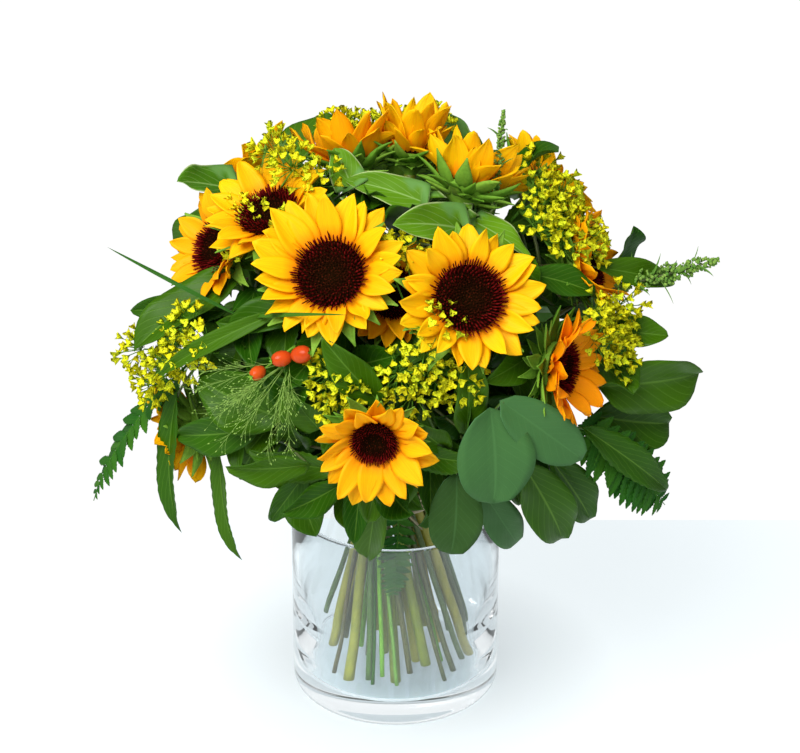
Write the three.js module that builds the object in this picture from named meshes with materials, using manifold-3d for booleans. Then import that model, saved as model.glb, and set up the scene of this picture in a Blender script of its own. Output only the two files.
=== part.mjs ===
// Sunflowers in a vase: a hand-tied bouquet with its stems spiralling through one raffia tie,
// standing in a clear glass cylinder with a thick base.
//
// Millimetres, +Z up. The origin is the centre of the vase's underside, and the bouquet's front
// is towards -Y. Places in the bouquet are [azimuth, elevation, radius] on a dome round
// DOME_CENTRE: azimuth 0 is the front and 90 is +X, elevation 90 is straight up.

import * as THREE from "three";
import { mergeVertices } from "three/addons/utils/BufferGeometryUtils.js";
import Module from "manifold-3d";

const wasm = await Module();
wasm.setup();

// ---- Driving dimensions ---------------------------------------------------------------------

const VASE_RADIUS = 75;
const VASE_HEIGHT = 150;
const GLASS_WALL = 4;
const GLASS_BASE = 18;
const CORNER_RADIUS = 8; // of the outer edge round the underside
const INNER_CORNER = 6; // where the wall meets the floor
// The wall thickens towards the base: [inner radius, height], from the top down.
const INNER_WALL = [[71, 98], [70.6, 84], [68.4, 67], [66.4, 52], [65.3, 38], [64.2, 26]];

const TIE_HEIGHT = 158; // where the raffia binds the stems
const WAIST_RADIUS = 25; // of the bound bundle
const FOOT_SPREAD = 2.5; // how much wider the bundle is at its cut ends
const FOOT_TWIST = 32; // degrees that the spiral turns between the tie and the cut ends
const CUT_END = 26; // height of the lowest cut end
const CUT_VARIATION = 15;

const DOME_CENTRE = new THREE.Vector3(0, 0, 275);
const STEM_RISE = 50; // a stem leaves the tie nearly upright, for about this far
const APPROACH = 0.3; // share of a stem's reach over which it turns to its end's direction
const PACKING_ROUNDS = 600;

const GAP = 0.3; // kept between neighbouring pieces
const LATHE_STEPS = 36;
const HEAD_STEPS = 8;
const STEM_SIDES = 5;

const HEAD_DEPTH = 9; // from a sunflower's calyx to the front of its disc
const PETAL_THICKNESS = 1.4;
const LEAF_THICKNESS = 1.6;
const SUNFLOWER_STEM = 3.6; // stem radii
const WOODY_STEM = 2;
const FINE_STEM = 1.5;

// ---- Materials ------------------------------------------------------------------------------

function finish(colour, roughness, extra = {}) {
  return { color: colour, roughness, metalness: 0, ...extra };
}

const FINISHES = {
  glass: finish(0xdfeaec, 0.05, { transparent: true, opacity: 0.35 }),
  raffia: finish(0x8a7358, 0.85),
  petal: finish(0xffc400, 0.55),
  sunflowerStem: finish(0x8c9a3c, 0.6),
  salal: finish(0x2f6b22, 0.45),
  eucalyptus: finish(0x5a9170, 0.5),
  fern: finish(0x2c6a26, 0.6),
  statice: finish(0xe6e432, 0.7),
  amaranth: finish(0x6f9a3c, 0.8),
  grass: finish(0x9fb36a, 0.6),
  rosehip: finish(0xd8481a, 0.3),
};

// ---- Sunflowers: where the disc's centre is, which way it faces, and its petals --------------

const SUNFLOWERS = [
  { at: [-21, 43, 165], face: [-17, 39], reach: 52, disc: 23, cup: 24 },
  { at: [22, 37, 165], face: [12, 36], reach: 50, disc: 23, cup: 20 },
  { at: [-5, 3, 160], face: [-5, -4], reach: 42, disc: 15, cup: 30 },
  { at: [-58, 52, 165], face: [-50, 65], reach: 46, disc: 20, cup: 28 },
  { at: [-74, 36, 160], face: [-62, 30], reach: 42, disc: 19, cup: 26 },
  { at: [46, 14, 165], face: [66, 6], reach: 39, disc: 17, cup: 38 },
  { at: [-95, 78, 150], face: [-165, 55], reach: 36, disc: 16, cup: 40 },
  { at: [130, 84, 152], face: [165, 70], reach: 28, disc: 13, cup: 58 },
  { at: [65, 68, 150], face: [150, 48], reach: 40, disc: 18, cup: 36 },
  { at: [-1, 44, 122], face: [8, 40], reach: 38, disc: 17, cup: 34 },
  { at: [76, 31, 160], face: [80, 28], reach: 38, disc: 17, cup: 36 },
  { at: [-74, -16, 160], face: [-98, -25], reach: 38, disc: 17, cup: 32 },
  { at: [178, 30, 160], face: [180, 28], reach: 47, disc: 21, cup: 22 },
  { at: [124, 36, 160], face: [124, 34], reach: 43, disc: 19, cup: 28 },
  { at: [-130, 38, 160], face: [-132, 36], reach: 44, disc: 20, cup: 26 },
];
const PETALS_IN_RING = 12;
const PINNA_PAIRS = 4; // on a fern frond

// ---- Foliage sprigs: the stem's end, then each leaf from its base to its tip with its width ---

const SALAL = [
  {
    name: "salal_top",
    end: [20, 68, 132],
    leaves: [
      [[33, 56, 150], [-1, 55, 172], 33],
      [[23, 69, 142], [-44, 71, 152], 26],
      [[45, 59, 142], [53, 41, 152], 24],
      [[-37, 71, 148], [-62, 74, 168], 24],
    ],
  },
  {
    name: "salal_top_left",
    end: [-100, 40, 130],
    leaves: [
      [[-104, 40, 152], [-89, 38, 186], 28],
      [[-112, 50, 140], [-150, 60, 165], 30],
      [[-108, 28, 140], [-118, 12, 185], 30],
    ],
  },
  {
    name: "salal_left",
    end: [-62, 26, 128],
    leaves: [
      [[-63, 35, 142], [-67, 10, 196], 34],
      [[-62, 24, 140], [-78, 14, 192], 22],
      [[-36, 32, 150], [-59, 8, 188], 13],
      [[-65, 0, 165], [-63, -33, 200], 20],
    ],
  },
  {
    name: "salal_left_low",
    end: [-50, -4, 122],
    leaves: [
      [[-57, -16, 150], [-52, -43, 186], 17],
      [[-24, -10, 142], [-39, -6, 182], 24],
      [[-34, 1, 136], [-55, 8, 164], 42],
      [[-41, -4, 140], [-63, -10, 172], 28],
    ],
  },
  {
    name: "salal_front",
    end: [-12, -14, 112],
    leaves: [
      [[-17, -20, 132], [-28, -18, 172], 22],
      [[-6, -24, 130], [-13, -55, 152], 24],
      [[-30, -20, 128], [-40, -32, 158], 20],
    ],
  },
  {
    name: "salal_centre",
    end: [8, 10, 116],
    leaves: [
      [[-4, 11, 138], [-19, 28, 168], 26],
      [[20, 0, 138], [20, 24, 152], 26],
      [[14, -4, 136], [4, 8, 150], 24],
      [[44, 18, 140], [24, 16, 152], 24],
      [[-23, -1, 130], [-30, 14, 152], 30],
    ],
  },
  {
    name: "salal_right_top",
    end: [74, 36, 128],
    leaves: [
      [[72, 30, 165], [85, 16, 202], 20],
      [[90, 22, 165], [88, 30, 190], 26],
      [[52, 38, 148], [64, 26, 168], 22],
      [[110, 55, 146], [84, 54, 190], 20],
      [[70, 14, 160], [74, 10, 198], 22],
    ],
  },
  {
    name: "salal_right",
    end: [66, 0, 126],
    leaves: [
      [[62, 2, 158], [82, -2, 214], 44],
      [[64, -8, 152], [80, -13, 200], 40],
      [[66, 8, 150], [62, 2, 184], 34],
    ],
  },
  {
    name: "salal_back_left",
    end: [-140, 4, 124],
    leaves: [
      [[-120, 4, 150], [-112, -20, 196], 34],
      [[-138, -4, 148], [-140, -34, 186], 34],
      [[-150, 14, 146], [-164, -8, 190], 36],
      [[-128, 18, 142], [-122, 14, 188], 32],
    ],
  },
  {
    name: "salal_back_right",
    end: [150, 8, 124],
    leaves: [
      [[118, 0, 150], [112, -22, 192], 36],
      [[140, 2, 148], [142, -30, 186], 34],
      [[160, 8, 146], [172, -22, 186], 34],
      [[146, 24, 142], [152, 10, 190], 34],
      [[150, 52, 138], [160, 62, 168], 32],
    ],
  },
];

const EUCALYPTUS = [
  {
    name: "eucalyptus_front",
    end: [22, -6, 124],
    leaves: [
      [[25, 9, 152], [24, -15, 168], 54],
      [[27, 11, 157], [45, -7, 180], 36],
      [[17, -10, 144], [16, -34, 166], 37],
      [[26, -20, 140], [46, -44, 164], 27],
    ],
  },
  {
    name: "eucalyptus_right",
    end: [48, -8, 126],
    leaves: [
      [[37, -12, 146], [55, -38, 180], 36],
      [[46, -13, 150], [62, -33, 184], 30],
      [[52, -4, 162], [71, -22, 216], 24],
    ],
  },
  {
    name: "eucalyptus_back",
    end: [-176, 0, 124],
    leaves: [
      [[-172, 6, 150], [-174, -20, 182], 50],
      [[176, -4, 150], [160, -22, 188], 40],
      [[-164, -6, 148], [-154, -26, 186], 38],
    ],
  },
];

// Ferns: the bare stem's end, then the frond's tip, its width and how far it arches outwards.
const FERNS = [
  { name: "fern_left", end: [-74, 2, 150], tip: [-71, -21, 238], width: 34, arch: 12 },
  { name: "fern_right", end: [56, 4, 150], tip: [72, -20, 218], width: 30, arch: 10 },
  { name: "fern_front", end: [4, -56, 92], tip: [-2, -72, 182], width: 22, arch: 14 },
];

// Statice: the stem's end, then the flower clusters round it.
const STATICE = [
  {
    name: "statice_front",
    end: [10, 22, 138],
    clusters: [[9, 21, 157], [18, 16, 154], [5, 14, 152], [14, 32, 166], [-17, 16, 156]],
  },
  {
    name: "statice_left",
    end: [-66, 10, 152],
    clusters: [[-66, 6, 184], [-58, 12, 176], [-72, 8, 196]],
  },
  {
    name: "statice_top_left",
    end: [-70, 52, 150],
    clusters: [[-66, 46, 170], [-76, 62, 188], [-40, 52, 170]],
  },
  {
    name: "statice_top_right",
    end: [80, 52, 140],
    clusters: [[76, 44, 168], [66, 48, 166], [86, 46, 176], [96, 52, 172]],
  },
  {
    name: "statice_right",
    end: [66, 20, 150],
    clusters: [[65, 15, 178], [72, 19, 182], [62, 20, 174]],
  },
  {
    name: "statice_back",
    end: [-168, 50, 140],
    clusters: [[-170, 52, 164], [-158, 46, 162], [178, 58, 162]],
  },
];

const AMARANTH = [
  { name: "amaranth_top", end: [58, 58, 148], tip: [71, 68, 206], radius: 4 },
  { name: "amaranth_right", end: [76, 22, 168], tip: [82, 20, 238], radius: 6 },
];

const PANICUM = {
  name: "panicum",
  end: [-30, 20, 150],
  tips: [[-44, 3, 176], [-36, 10, 186], [-26, 6, 178], [-46, 14, 186], [-30, -2, 172], [-22, 14, 182]],
};

const ROSEHIPS = {
  name: "rosehips",
  end: [-30, 24, 146],
  hips: [[-25, 23, 160], [-30, 21, 161], [-36, 16, 162]],
  radius: 7,
};

const BEAR_GRASS = {
  name: "bear_grass",
  end: [-50, 26, 150],
  tips: [[-71, 28, 232], [-13, 33, 184]],
  width: 3,
};

// ---- Geometry helpers -----------------------------------------------------------------------

function dome([azimuth, elevation, radius]) {
  const az = THREE.MathUtils.degToRad(azimuth);
  const el = THREE.MathUtils.degToRad(elevation);
  const flat = radius * Math.cos(el);
  const offset = new THREE.Vector3(flat * Math.sin(az), -flat * Math.cos(az), radius * Math.sin(el));
  return offset.add(DOME_CENTRE);
}

function facing([azimuth, elevation]) {
  return dome([azimuth, elevation, 1]).sub(DOME_CENTRE);
}

// Moves every vertex of a geometry by a function that changes the vector it is given.
function reshape(geometry, change) {
  const position = geometry.attributes.position;
  const vertex = new THREE.Vector3();
  for (let i = 0; i < position.count; i += 1) {
    vertex.fromBufferAttribute(position, i);
    change(vertex);
    position.setXYZ(i, vertex.x, vertex.y, vertex.z);
  }
  return geometry;
}

function toSolid(geometry) {
  const bare = geometry.clone();
  bare.deleteAttribute("normal");
  bare.deleteAttribute("uv");
  const merged = mergeVertices(bare, 1e-3);
  const vertProperties = Float32Array.from(merged.attributes.position.array);
  const triVerts = Uint32Array.from(merged.index.array);
  return new wasm.Manifold(new wasm.Mesh({ numProp: 3, vertProperties, triVerts }));
}

function toGeometry(solid) {
  const mesh = solid.getMesh();
  const geometry = new THREE.BufferGeometry();
  geometry.setAttribute("position", new THREE.Float32BufferAttribute(mesh.vertProperties, 3));
  geometry.setIndex(Array.from(mesh.triVerts));
  geometry.computeVertexNormals();
  return geometry;
}

function join(geometries) {
  return geometries.map(toSolid).reduce((whole, solid) => whole.add(solid));
}

function largestPiece(solid) {
  return solid.decompose().reduce((best, piece) => (piece.volume() > best.volume() ? piece : best));
}

// The largest piece, twice over: a neck thinner than the merged corners can part it again.
function largest(solid) {
  return largestPiece(toSolid(toGeometry(largestPiece(solid))));
}

function boxesMeet(a, b) {
  const first = a.boundingBox();
  const second = b.boundingBox();
  return [0, 1, 2].every((k) => first.min[k] < second.max[k] && second.min[k] < first.max[k]);
}

function cutClear(solid, neighbours) {
  const near = neighbours.filter((other) => boxesMeet(solid, other));
  return near.reduce((rest, other) => rest.subtract(other), solid);
}

// A rod through the given points, from its top to its foot, with a radius at each.
function rod(points, radii, sides = STEM_SIDES) {
  const last = points.length - 1;
  const rings = points.map((point, k) => {
    const up = new THREE.Vector3().subVectors(points[Math.max(k - 1, 0)], points[Math.min(k + 1, last)]);
    up.normalize();
    const side = new THREE.Vector3(0.31, 0.95, 0.02);
    side.addScaledVector(up, -side.dot(up)).normalize();
    return { point, radius: radii[k], side, other: new THREE.Vector3().crossVectors(side, up) };
  });
  return reshape(new THREE.CylinderGeometry(1, 1, last, sides, last), (vertex) => {
    const ring = rings[Math.round(last / 2 - vertex.y)];
    const { x, z } = vertex;
    vertex.copy(ring.point);
    vertex.addScaledVector(ring.side, x * ring.radius);
    vertex.addScaledVector(ring.other, z * ring.radius);
  });
}

// The line that a blade follows from its base to its tip, arched away from the dome's centre.
function archedSpine(base, tip, arch) {
  const middle = new THREE.Vector3().addVectors(base, tip).multiplyScalar(0.5);
  const outward = new THREE.Vector3().subVectors(middle, DOME_CENTRE).normalize();
  middle.addScaledVector(outward, 2 * arch);
  return { outward, curve: new THREE.QuadraticBezierCurve3(base, middle, tip) };
}

// A blade is a four-sided spindle, flattened. Each ring is [share of the length, share of the width].
const LEAF_RINGS = [[0.3, 0.85], [0.72, 0.75]];

function blade(base, tip, { width, arch, grow = 0, rings = LEAF_RINGS }) {
  const { outward, curve } = archedSpine(base, tip, arch);
  const stations = [[0, 0], ...rings, [1, 0]];
  const last = stations.length - 1;
  return reshape(new THREE.SphereGeometry(1, 4, last), (vertex) => {
    const across = Math.sign(Math.round(vertex.x * 10));
    const through = Math.sign(Math.round(vertex.z * 10));
    const [share, fullness] = stations[Math.round((Math.acos(vertex.y) / Math.PI) * last)];
    const along = curve.getTangent(share);
    const sideways = new THREE.Vector3().crossVectors(along, outward).normalize();
    const normal = new THREE.Vector3().crossVectors(along, sideways);
    vertex.copy(curve.getPoint(share));
    vertex.addScaledVector(along, 2 * (share - 0.5) * grow);
    vertex.addScaledVector(sideways, across * ((width / 2) * fullness + grow));
    vertex.addScaledVector(normal, through * ((LEAF_THICKNESS / 2) * Math.max(fullness, 0.6) + grow));
  });
}

// ---- The bundle: where each stem passes the tie, how it runs down to its foot and up ---------

// Spreads the stems over the waist, each as near as it can be to the side that it leads to.
function packWaist(stems) {
  const places = stems.map(({ end, radius }, k) => {
    const offset = end.clone().sub(DOME_CENTRE);
    const azimuth = Math.atan2(offset.y, offset.x);
    const tilt = Math.acos(THREE.MathUtils.clamp(offset.z / offset.length(), -1, 1)) / Math.PI;
    const distance = WAIST_RADIUS * Math.min(1, 0.15 + 1.5 * tilt) + 0.01 * k;
    const home = new THREE.Vector2(Math.cos(azimuth), Math.sin(azimuth)).multiplyScalar(distance);
    return { radius: radius + GAP, home, spot: home.clone() };
  });
  for (let round = 0; round < PACKING_ROUNDS; round += 1) {
    places.forEach((place) => place.spot.lerp(place.home, 0.01 * (1 - round / PACKING_ROUNDS)));
    places.forEach((first, i) => {
      places.slice(i + 1).forEach((second) => {
        const apart = new THREE.Vector2().subVectors(second.spot, first.spot);
        const overlap = first.radius + second.radius - apart.length();
        if (overlap > 0) {
          apart.setLength(overlap / 2 + 0.01);
          second.spot.add(apart);
          first.spot.sub(apart);
        }
      });
    });
    places.forEach((place) => place.spot.clampLength(0, WAIST_RADIUS - place.radius));
  }
  return places.map((place) => place.spot);
}

function bundlePoint(spot, height) {
  const down = (TIE_HEIGHT - height) / (TIE_HEIGHT - CUT_END);
  const twist = THREE.MathUtils.degToRad(FOOT_TWIST);
  const grow = 1 + down * (FOOT_SPREAD * Math.cos(twist) - 1);
  const turn = down * FOOT_SPREAD * Math.sin(twist);
  return new THREE.Vector3(spot.x * grow - spot.y * turn, spot.y * grow + spot.x * turn, height);
}

function stemPath({ end, lead }, spot, index) {
  const foot = CUT_END + ((index * 7) % CUT_VARIATION);
  const waist = bundlePoint(spot, TIE_HEIGHT);
  const rise = new THREE.Vector3(spot.x * 1.5, spot.y * 1.5, TIE_HEIGHT + STEM_RISE);
  const approach = end.clone().addScaledVector(lead, -APPROACH * end.distanceTo(waist));
  const upper = new THREE.CubicBezierCurve3(waist, rise, approach, end);
  return { upper, foot: bundlePoint(spot, foot), waist };
}

const STATIONS = [0.82, 0.58, 0.28, 0];

function stemRod(stem, grow = 0) {
  const top = stem.end.clone().addScaledVector(stem.lead, grow);
  const foot = stem.path.foot.clone().setZ(stem.path.foot.z - grow);
  const points = [top, ...STATIONS.map((t) => stem.path.upper.getPoint(t)), foot];
  const radii = points.map((_, k) => stem.radius * Math.min(1, 0.55 + 0.15 * k) + grow);
  radii[0] = stem.tipRadius + grow;
  return rod(points, radii);
}

// ---- Vase and tie ---------------------------------------------------------------------------

// A profile's quarter turn about a centre, between two angles in degrees.
function corner(centreX, centreZ, radius, from, to, steps = 2) {
  return Array.from({ length: steps + 1 }, (_, k) => {
    const angle = THREE.MathUtils.degToRad(from + ((to - from) * k) / steps);
    return new THREE.Vector2(centreX + radius * Math.cos(angle), centreZ + radius * Math.sin(angle));
  });
}

function lathe(profile) {
  const points = profile.map((point) => (point.isVector2 ? point : new THREE.Vector2(...point)));
  return new THREE.LatheGeometry(points, LATHE_STEPS).rotateX(Math.PI / 2);
}

function vase() {
  const lip = GLASS_WALL / 2;
  const [lowestInner] = INNER_WALL[INNER_WALL.length - 1];
  return lathe([
    [0, 0],
    ...corner(VASE_RADIUS - CORNER_RADIUS, CORNER_RADIUS, CORNER_RADIUS, -90, 0),
    ...corner(VASE_RADIUS - lip, VASE_HEIGHT - lip, lip, 0, 180, 4),
    ...INNER_WALL,
    ...corner(lowestInner - INNER_CORNER, GLASS_BASE + INNER_CORNER, INNER_CORNER, 0, -90),
    [0, GLASS_BASE],
  ]);
}

function raffiaTie() {
  const hollow = WAIST_RADIUS + GAP;
  return lathe([
    [hollow + 1.3, TIE_HEIGHT - 5],
    [hollow + 3.5, TIE_HEIGHT - 5],
    [hollow + 4.2, TIE_HEIGHT],
    [hollow + 4.2, TIE_HEIGHT + 5],
    [hollow + 2.6, TIE_HEIGHT + 5],
    [hollow, TIE_HEIGHT],
    [hollow + 1.3, TIE_HEIGHT - 5],
  ]);
}

// ---- Sunflower heads ------------------------------------------------------------------------

// The petals as one star, flat as far as the notches between them and cupped from there outwards.
function petalStar({ reach, disc, cup }, grow) {
  const notch = disc + 0.15 * (reach - disc);
  const slope = THREE.MathUtils.degToRad(cup);
  const length = (reach - notch) / Math.cos(slope);
  const outline = [];
  for (let k = 0; k < PETALS_IN_RING; k += 1) {
    [[0, 0], [0.36, 1], [0.64, 1]].forEach(([turn, share]) => {
      const angle = ((k + turn) / PETALS_IN_RING) * 2 * Math.PI;
      const radius = notch + length * share + grow;
      outline.push(new THREE.Vector2(radius * Math.cos(angle), radius * Math.sin(angle)));
    });
  }
  const depth = PETAL_THICKNESS + 2 * grow;
  const star = new THREE.ExtrudeGeometry(new THREE.Shape(outline), { depth, bevelEnabled: false });
  return reshape(star, (vertex) => {
    const radius = Math.hypot(vertex.x, vertex.y);
    const along = Math.max(radius - notch - grow, 0);
    const bent = radius - along * (1 - Math.cos(slope));
    vertex.x *= bent / radius;
    vertex.y *= bent / radius;
    vertex.z += GAP - grow + along * Math.sin(slope);
  });
}

function discDome({ disc }, grow) {
  const points = [
    [0, GAP + 0.5 * PETAL_THICKNESS],
    [disc + grow, GAP + 0.5 * PETAL_THICKNESS],
    [disc * 0.85, HEAD_DEPTH - 1 + grow],
    [disc * 0.4, HEAD_DEPTH - 1.5 + grow],
    [0, HEAD_DEPTH - 2.5 + grow],
  ];
  const profile = points.map((point) => new THREE.Vector2(...point));
  return new THREE.LatheGeometry(profile, HEAD_STEPS).rotateX(Math.PI / 2);
}

function calyx({ disc }, grow) {
  const points = [
    [0, -13 - grow],
    [SUNFLOWER_STEM + 1 + grow, -12 - grow],
    [disc * 0.7 + grow, -7],
    [disc + 3 + grow, -0.5],
    [disc - 1, grow],
    [0, grow],
  ];
  const profile = points.map((point) => new THREE.Vector2(...point));
  return new THREE.LatheGeometry(profile, HEAD_STEPS).rotateX(Math.PI / 2);
}

function headFrame(flower) {
  const normal = facing(flower.face);
  const back = dome(flower.at).addScaledVector(normal, -HEAD_DEPTH);
  const turn = new THREE.Quaternion().setFromUnitVectors(new THREE.Vector3(0, 0, 1), normal);
  return { normal, back, matrix: new THREE.Matrix4().compose(back, turn, new THREE.Vector3(1, 1, 1)) };
}

// ---- The parts of each sprig, beside its own stem -------------------------------------------

// Leaves and side stalks spring from the last few joints of their stem.
function nearestOnStem(stem, place) {
  const joints = [stem.root, ...STATIONS.slice(0, 2).map((share) => stem.path.upper.getPoint(share))];
  return joints.reduce((best, point) => (point.distanceTo(place) < best.distanceTo(place) ? point : best));
}

function stalk(stem, place, radius, grow) {
  const start = nearestOnStem(stem, place);
  const past = new THREE.Vector3().subVectors(place, start).setLength(3 + grow);
  return rod([place.clone().add(past), start], [radius + grow, radius + grow], 3);
}

// A leaf starts on its stem with a stalk, which widens at the leaf's base.
function leafPieces(sprig, stem, grow) {
  return sprig.leaves.map(([base, tip, width]) => {
    const start = dome(base);
    const end = dome(tip);
    const foot = nearestOnStem(stem, start);
    const stalkShare = foot.distanceTo(start) / (foot.distanceTo(start) + start.distanceTo(end));
    const share = (part) => stalkShare + (1 - stalkShare) * part;
    const rings = [[stalkShare, 2 / width], [share(0.3), 0.95], [share(0.7), 0.8]];
    return blade(foot, end, { width, arch: 0.1 * foot.distanceTo(end), grow, rings });
  });
}

const RACHIS_RINGS = [[0.25, 0.8], [0.5, 1], [0.75, 0.8]];

function fernPieces(fern, stem, grow) {
  const tip = dome(fern.tip);
  const { curve, outward } = archedSpine(stem.root, tip, fern.arch);
  const pieces = [blade(stem.root, tip, { width: 5, arch: fern.arch, grow, rings: RACHIS_RINGS })];
  for (let k = 1; k <= PINNA_PAIRS; k += 1) {
    const share = k / (PINNA_PAIRS + 1.5);
    const middle = curve.getPoint(share);
    const along = curve.getTangent(share);
    const across = new THREE.Vector3().crossVectors(along, outward).normalize();
    const reach = (fern.width / 2) * Math.sin(Math.PI * (0.25 + 0.7 * share));
    [-1, 1].forEach((side) => {
      const end = middle.clone().addScaledVector(across, side * reach).addScaledVector(along, 0.4 * reach);
      pieces.push(blade(middle, end, { width: 7, arch: 0, grow, rings: [[0.4, 1]] }));
    });
  }
  return pieces;
}

function clusterPieces(sprig, stem, grow) {
  return sprig.clusters.flatMap((place, k) => {
    const centre = dome(place);
    const lump = new THREE.IcosahedronGeometry(8 + (k % 3) + grow, 0).translate(...centre.toArray());
    return [stalk(stem, centre, 0.9, grow), lump];
  });
}

function spikePieces(spike, stem, grow) {
  const tip = dome(spike.tip);
  const shares = [0, 0.25, 0.6, 1];
  const points = shares.map((share) => tip.clone().lerp(stem.root, share));
  const radii = [0.25, 0.8, 1, 0.5].map((share) => share * spike.radius + grow);
  return [rod(points, radii)];
}

function panicumPieces(sprig, stem, grow) {
  return sprig.tips.map((tip) => rod([dome(tip), stem.root], [0.7 + grow, 0.7 + grow], 3));
}

function hipPieces(sprig, stem, grow) {
  return sprig.hips.flatMap((place, k) => {
    const centre = dome(place);
    const hip = new THREE.SphereGeometry(sprig.radius - k + grow, 6, 4).translate(...centre.toArray());
    return [stalk(stem, centre, 0.8, grow), hip];
  });
}

function grassPieces(sprig, stem, grow) {
  return sprig.tips.map((tip) => blade(stem.root, dome(tip), { width: sprig.width, arch: 4, grow }));
}

// ---- Listing every stem, then building everything -------------------------------------------

const sprigKinds = [
  [SALAL, leafPieces, WOODY_STEM, "salal"],
  [EUCALYPTUS, leafPieces, WOODY_STEM, "eucalyptus"],
  [FERNS, fernPieces, FINE_STEM, "fern"],
  [STATICE, clusterPieces, WOODY_STEM, "statice"],
  [AMARANTH, spikePieces, WOODY_STEM, "amaranth"],
  [[PANICUM], panicumPieces, FINE_STEM, "grass"],
  [[ROSEHIPS], hipPieces, FINE_STEM, "rosehip"],
  [[BEAR_GRASS], grassPieces, FINE_STEM, "grass"],
];

const flowers = SUNFLOWERS.map((flower, k) => {
  const { normal, back, matrix } = headFrame(flower);
  const end = back.clone().addScaledVector(normal, -8);
  return { name: `sunflower_${k + 1}`, flower, matrix, end, lead: normal, radius: SUNFLOWER_STEM, tipRadius: 3 };
});

const sprigs = sprigKinds.flatMap(([list, pieces, radius, look]) =>
  list.map((sprig) => {
    const end = dome(sprig.end);
    const lead = end.clone().sub(DOME_CENTRE).normalize();
    const root = end.clone().addScaledVector(lead, -3);
    return { name: sprig.name, sprig, pieces, look, end, root, lead, radius, tipRadius: 0.8 };
  })
);

const stems = [...flowers, ...sprigs];
packWaist(stems).forEach((spot, k) => {
  stems[k].path = stemPath(stems[k], spot, k);
});
stems.forEach((stem) => {
  stem.solid = toSolid(stemRod(stem));
  stem.room = toSolid(stemRod(stem, GAP));
});

const bouquet = new THREE.Group();

function addPart(name, look, geometry) {
  const mesh = new THREE.Mesh(geometry, new THREE.MeshStandardMaterial(FINISHES[look]));
  mesh.name = name;
  bouquet.add(mesh);
}

addPart("vase", "glass", vase());
addPart("raffia_tie", "raffia", raffiaTie());

const stemRooms = stems.map((stem) => stem.room);
const taken = [toSolid(vase())];
flowers.forEach((stem) => {
  const calyxSolid = toSolid(calyx(stem.flower, 0).applyMatrix4(stem.matrix));
  const others = stemRooms.filter((room) => room !== stem.room);
  const whole = largest(cutClear(stem.solid.add(calyxSolid), [...others, ...taken]));
  addPart(`${stem.name}_stem`, "sunflowerStem", toGeometry(whole));
  taken.push(toSolid(calyx(stem.flower, GAP).applyMatrix4(stem.matrix)));
});
flowers.forEach((stem) => {
  const build = (grow) =>
    join([petalStar(stem.flower, grow), discDome(stem.flower, grow)].map((g) => g.applyMatrix4(stem.matrix)));
  const bloom = largest(cutClear(build(0), [...stemRooms, ...taken]));
  addPart(`${stem.name}_bloom`, "petal", toGeometry(bloom));
  taken.push(build(GAP));
});
sprigs.forEach((stem) => {
  const others = stemRooms.filter((room) => room !== stem.room);
  const parts = join(stem.pieces(stem.sprig, stem, 0));
  const clear = cutClear(parts, taken);
  addPart(stem.name, stem.look, toGeometry(largest(cutClear(stem.solid.add(clear), others))));
  taken.push(join(stem.pieces(stem.sprig, stem, GAP)));
});

export default bouquet;
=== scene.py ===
import math
import random

import bpy
import bmesh
from mathutils import Matrix, Vector


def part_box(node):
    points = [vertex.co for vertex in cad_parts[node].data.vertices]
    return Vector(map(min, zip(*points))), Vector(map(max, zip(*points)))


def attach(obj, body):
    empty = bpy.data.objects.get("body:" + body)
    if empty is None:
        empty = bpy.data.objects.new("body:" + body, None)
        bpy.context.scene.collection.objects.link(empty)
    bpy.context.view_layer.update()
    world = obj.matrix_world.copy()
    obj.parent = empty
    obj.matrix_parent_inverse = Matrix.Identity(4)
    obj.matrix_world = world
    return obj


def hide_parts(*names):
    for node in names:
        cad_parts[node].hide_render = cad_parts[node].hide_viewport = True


bl_info = {
    "name": "Sunflower Bouquet",
    "version": (1, 0, 0),
    "blender": (4, 5, 0),
    "location": "3D View > Sidebar > Bouquet",
    "description": "Builds a hand-tied sunflower bouquet in a glass vase around its packed frame",
    "category": "Object",
}

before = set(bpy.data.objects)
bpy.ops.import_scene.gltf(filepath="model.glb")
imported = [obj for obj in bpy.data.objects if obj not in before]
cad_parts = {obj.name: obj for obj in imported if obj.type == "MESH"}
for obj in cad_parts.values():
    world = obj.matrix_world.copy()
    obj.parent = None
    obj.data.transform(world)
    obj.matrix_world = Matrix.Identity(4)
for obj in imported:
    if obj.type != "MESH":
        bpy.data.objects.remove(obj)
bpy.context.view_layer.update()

MM = 0.001
TAU = 2 * math.pi

# ---- Sizes taken from the frame --------------------------------------------------------------

_, VASE_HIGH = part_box("vase")
VASE_RADIUS = VASE_HIGH.x
VASE_HEIGHT = VASE_HIGH.z
TIE_LOW, TIE_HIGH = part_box("raffia_tie")
TIE_HEIGHT = (TIE_LOW.z + TIE_HIGH.z) / 2
WAIST_RADIUS = 25 * MM
# The vase's wall thickens towards its base: (inner radius, height) in millimetres, from the top down.
INNER_WALL = [(71, 125), (71, 98), (70.6, 84), (69.6, 75), (68.4, 67), (67.3, 59), (66.4, 52), (65.8, 45),
              (65.3, 38), (64.8, 32), (64.2, 26)]

# ---- The bouquet's plan, in the same terms as the frame's source ------------------------------
# A place is (azimuth, elevation, radius) on a dome: azimuth 0 is the front and 90 is +X.

DOME_CENTRE = Vector((0, 0, 275 * MM))
STEM_RISE = 50 * MM
HEAD_DEPTH = 9 * MM

# The cut ends fan out a little further than their solids, to this far from the vase's axis at most.
FOOT_SPREAD = 1.24
FOOT_LIMIT = 58 * MM

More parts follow.
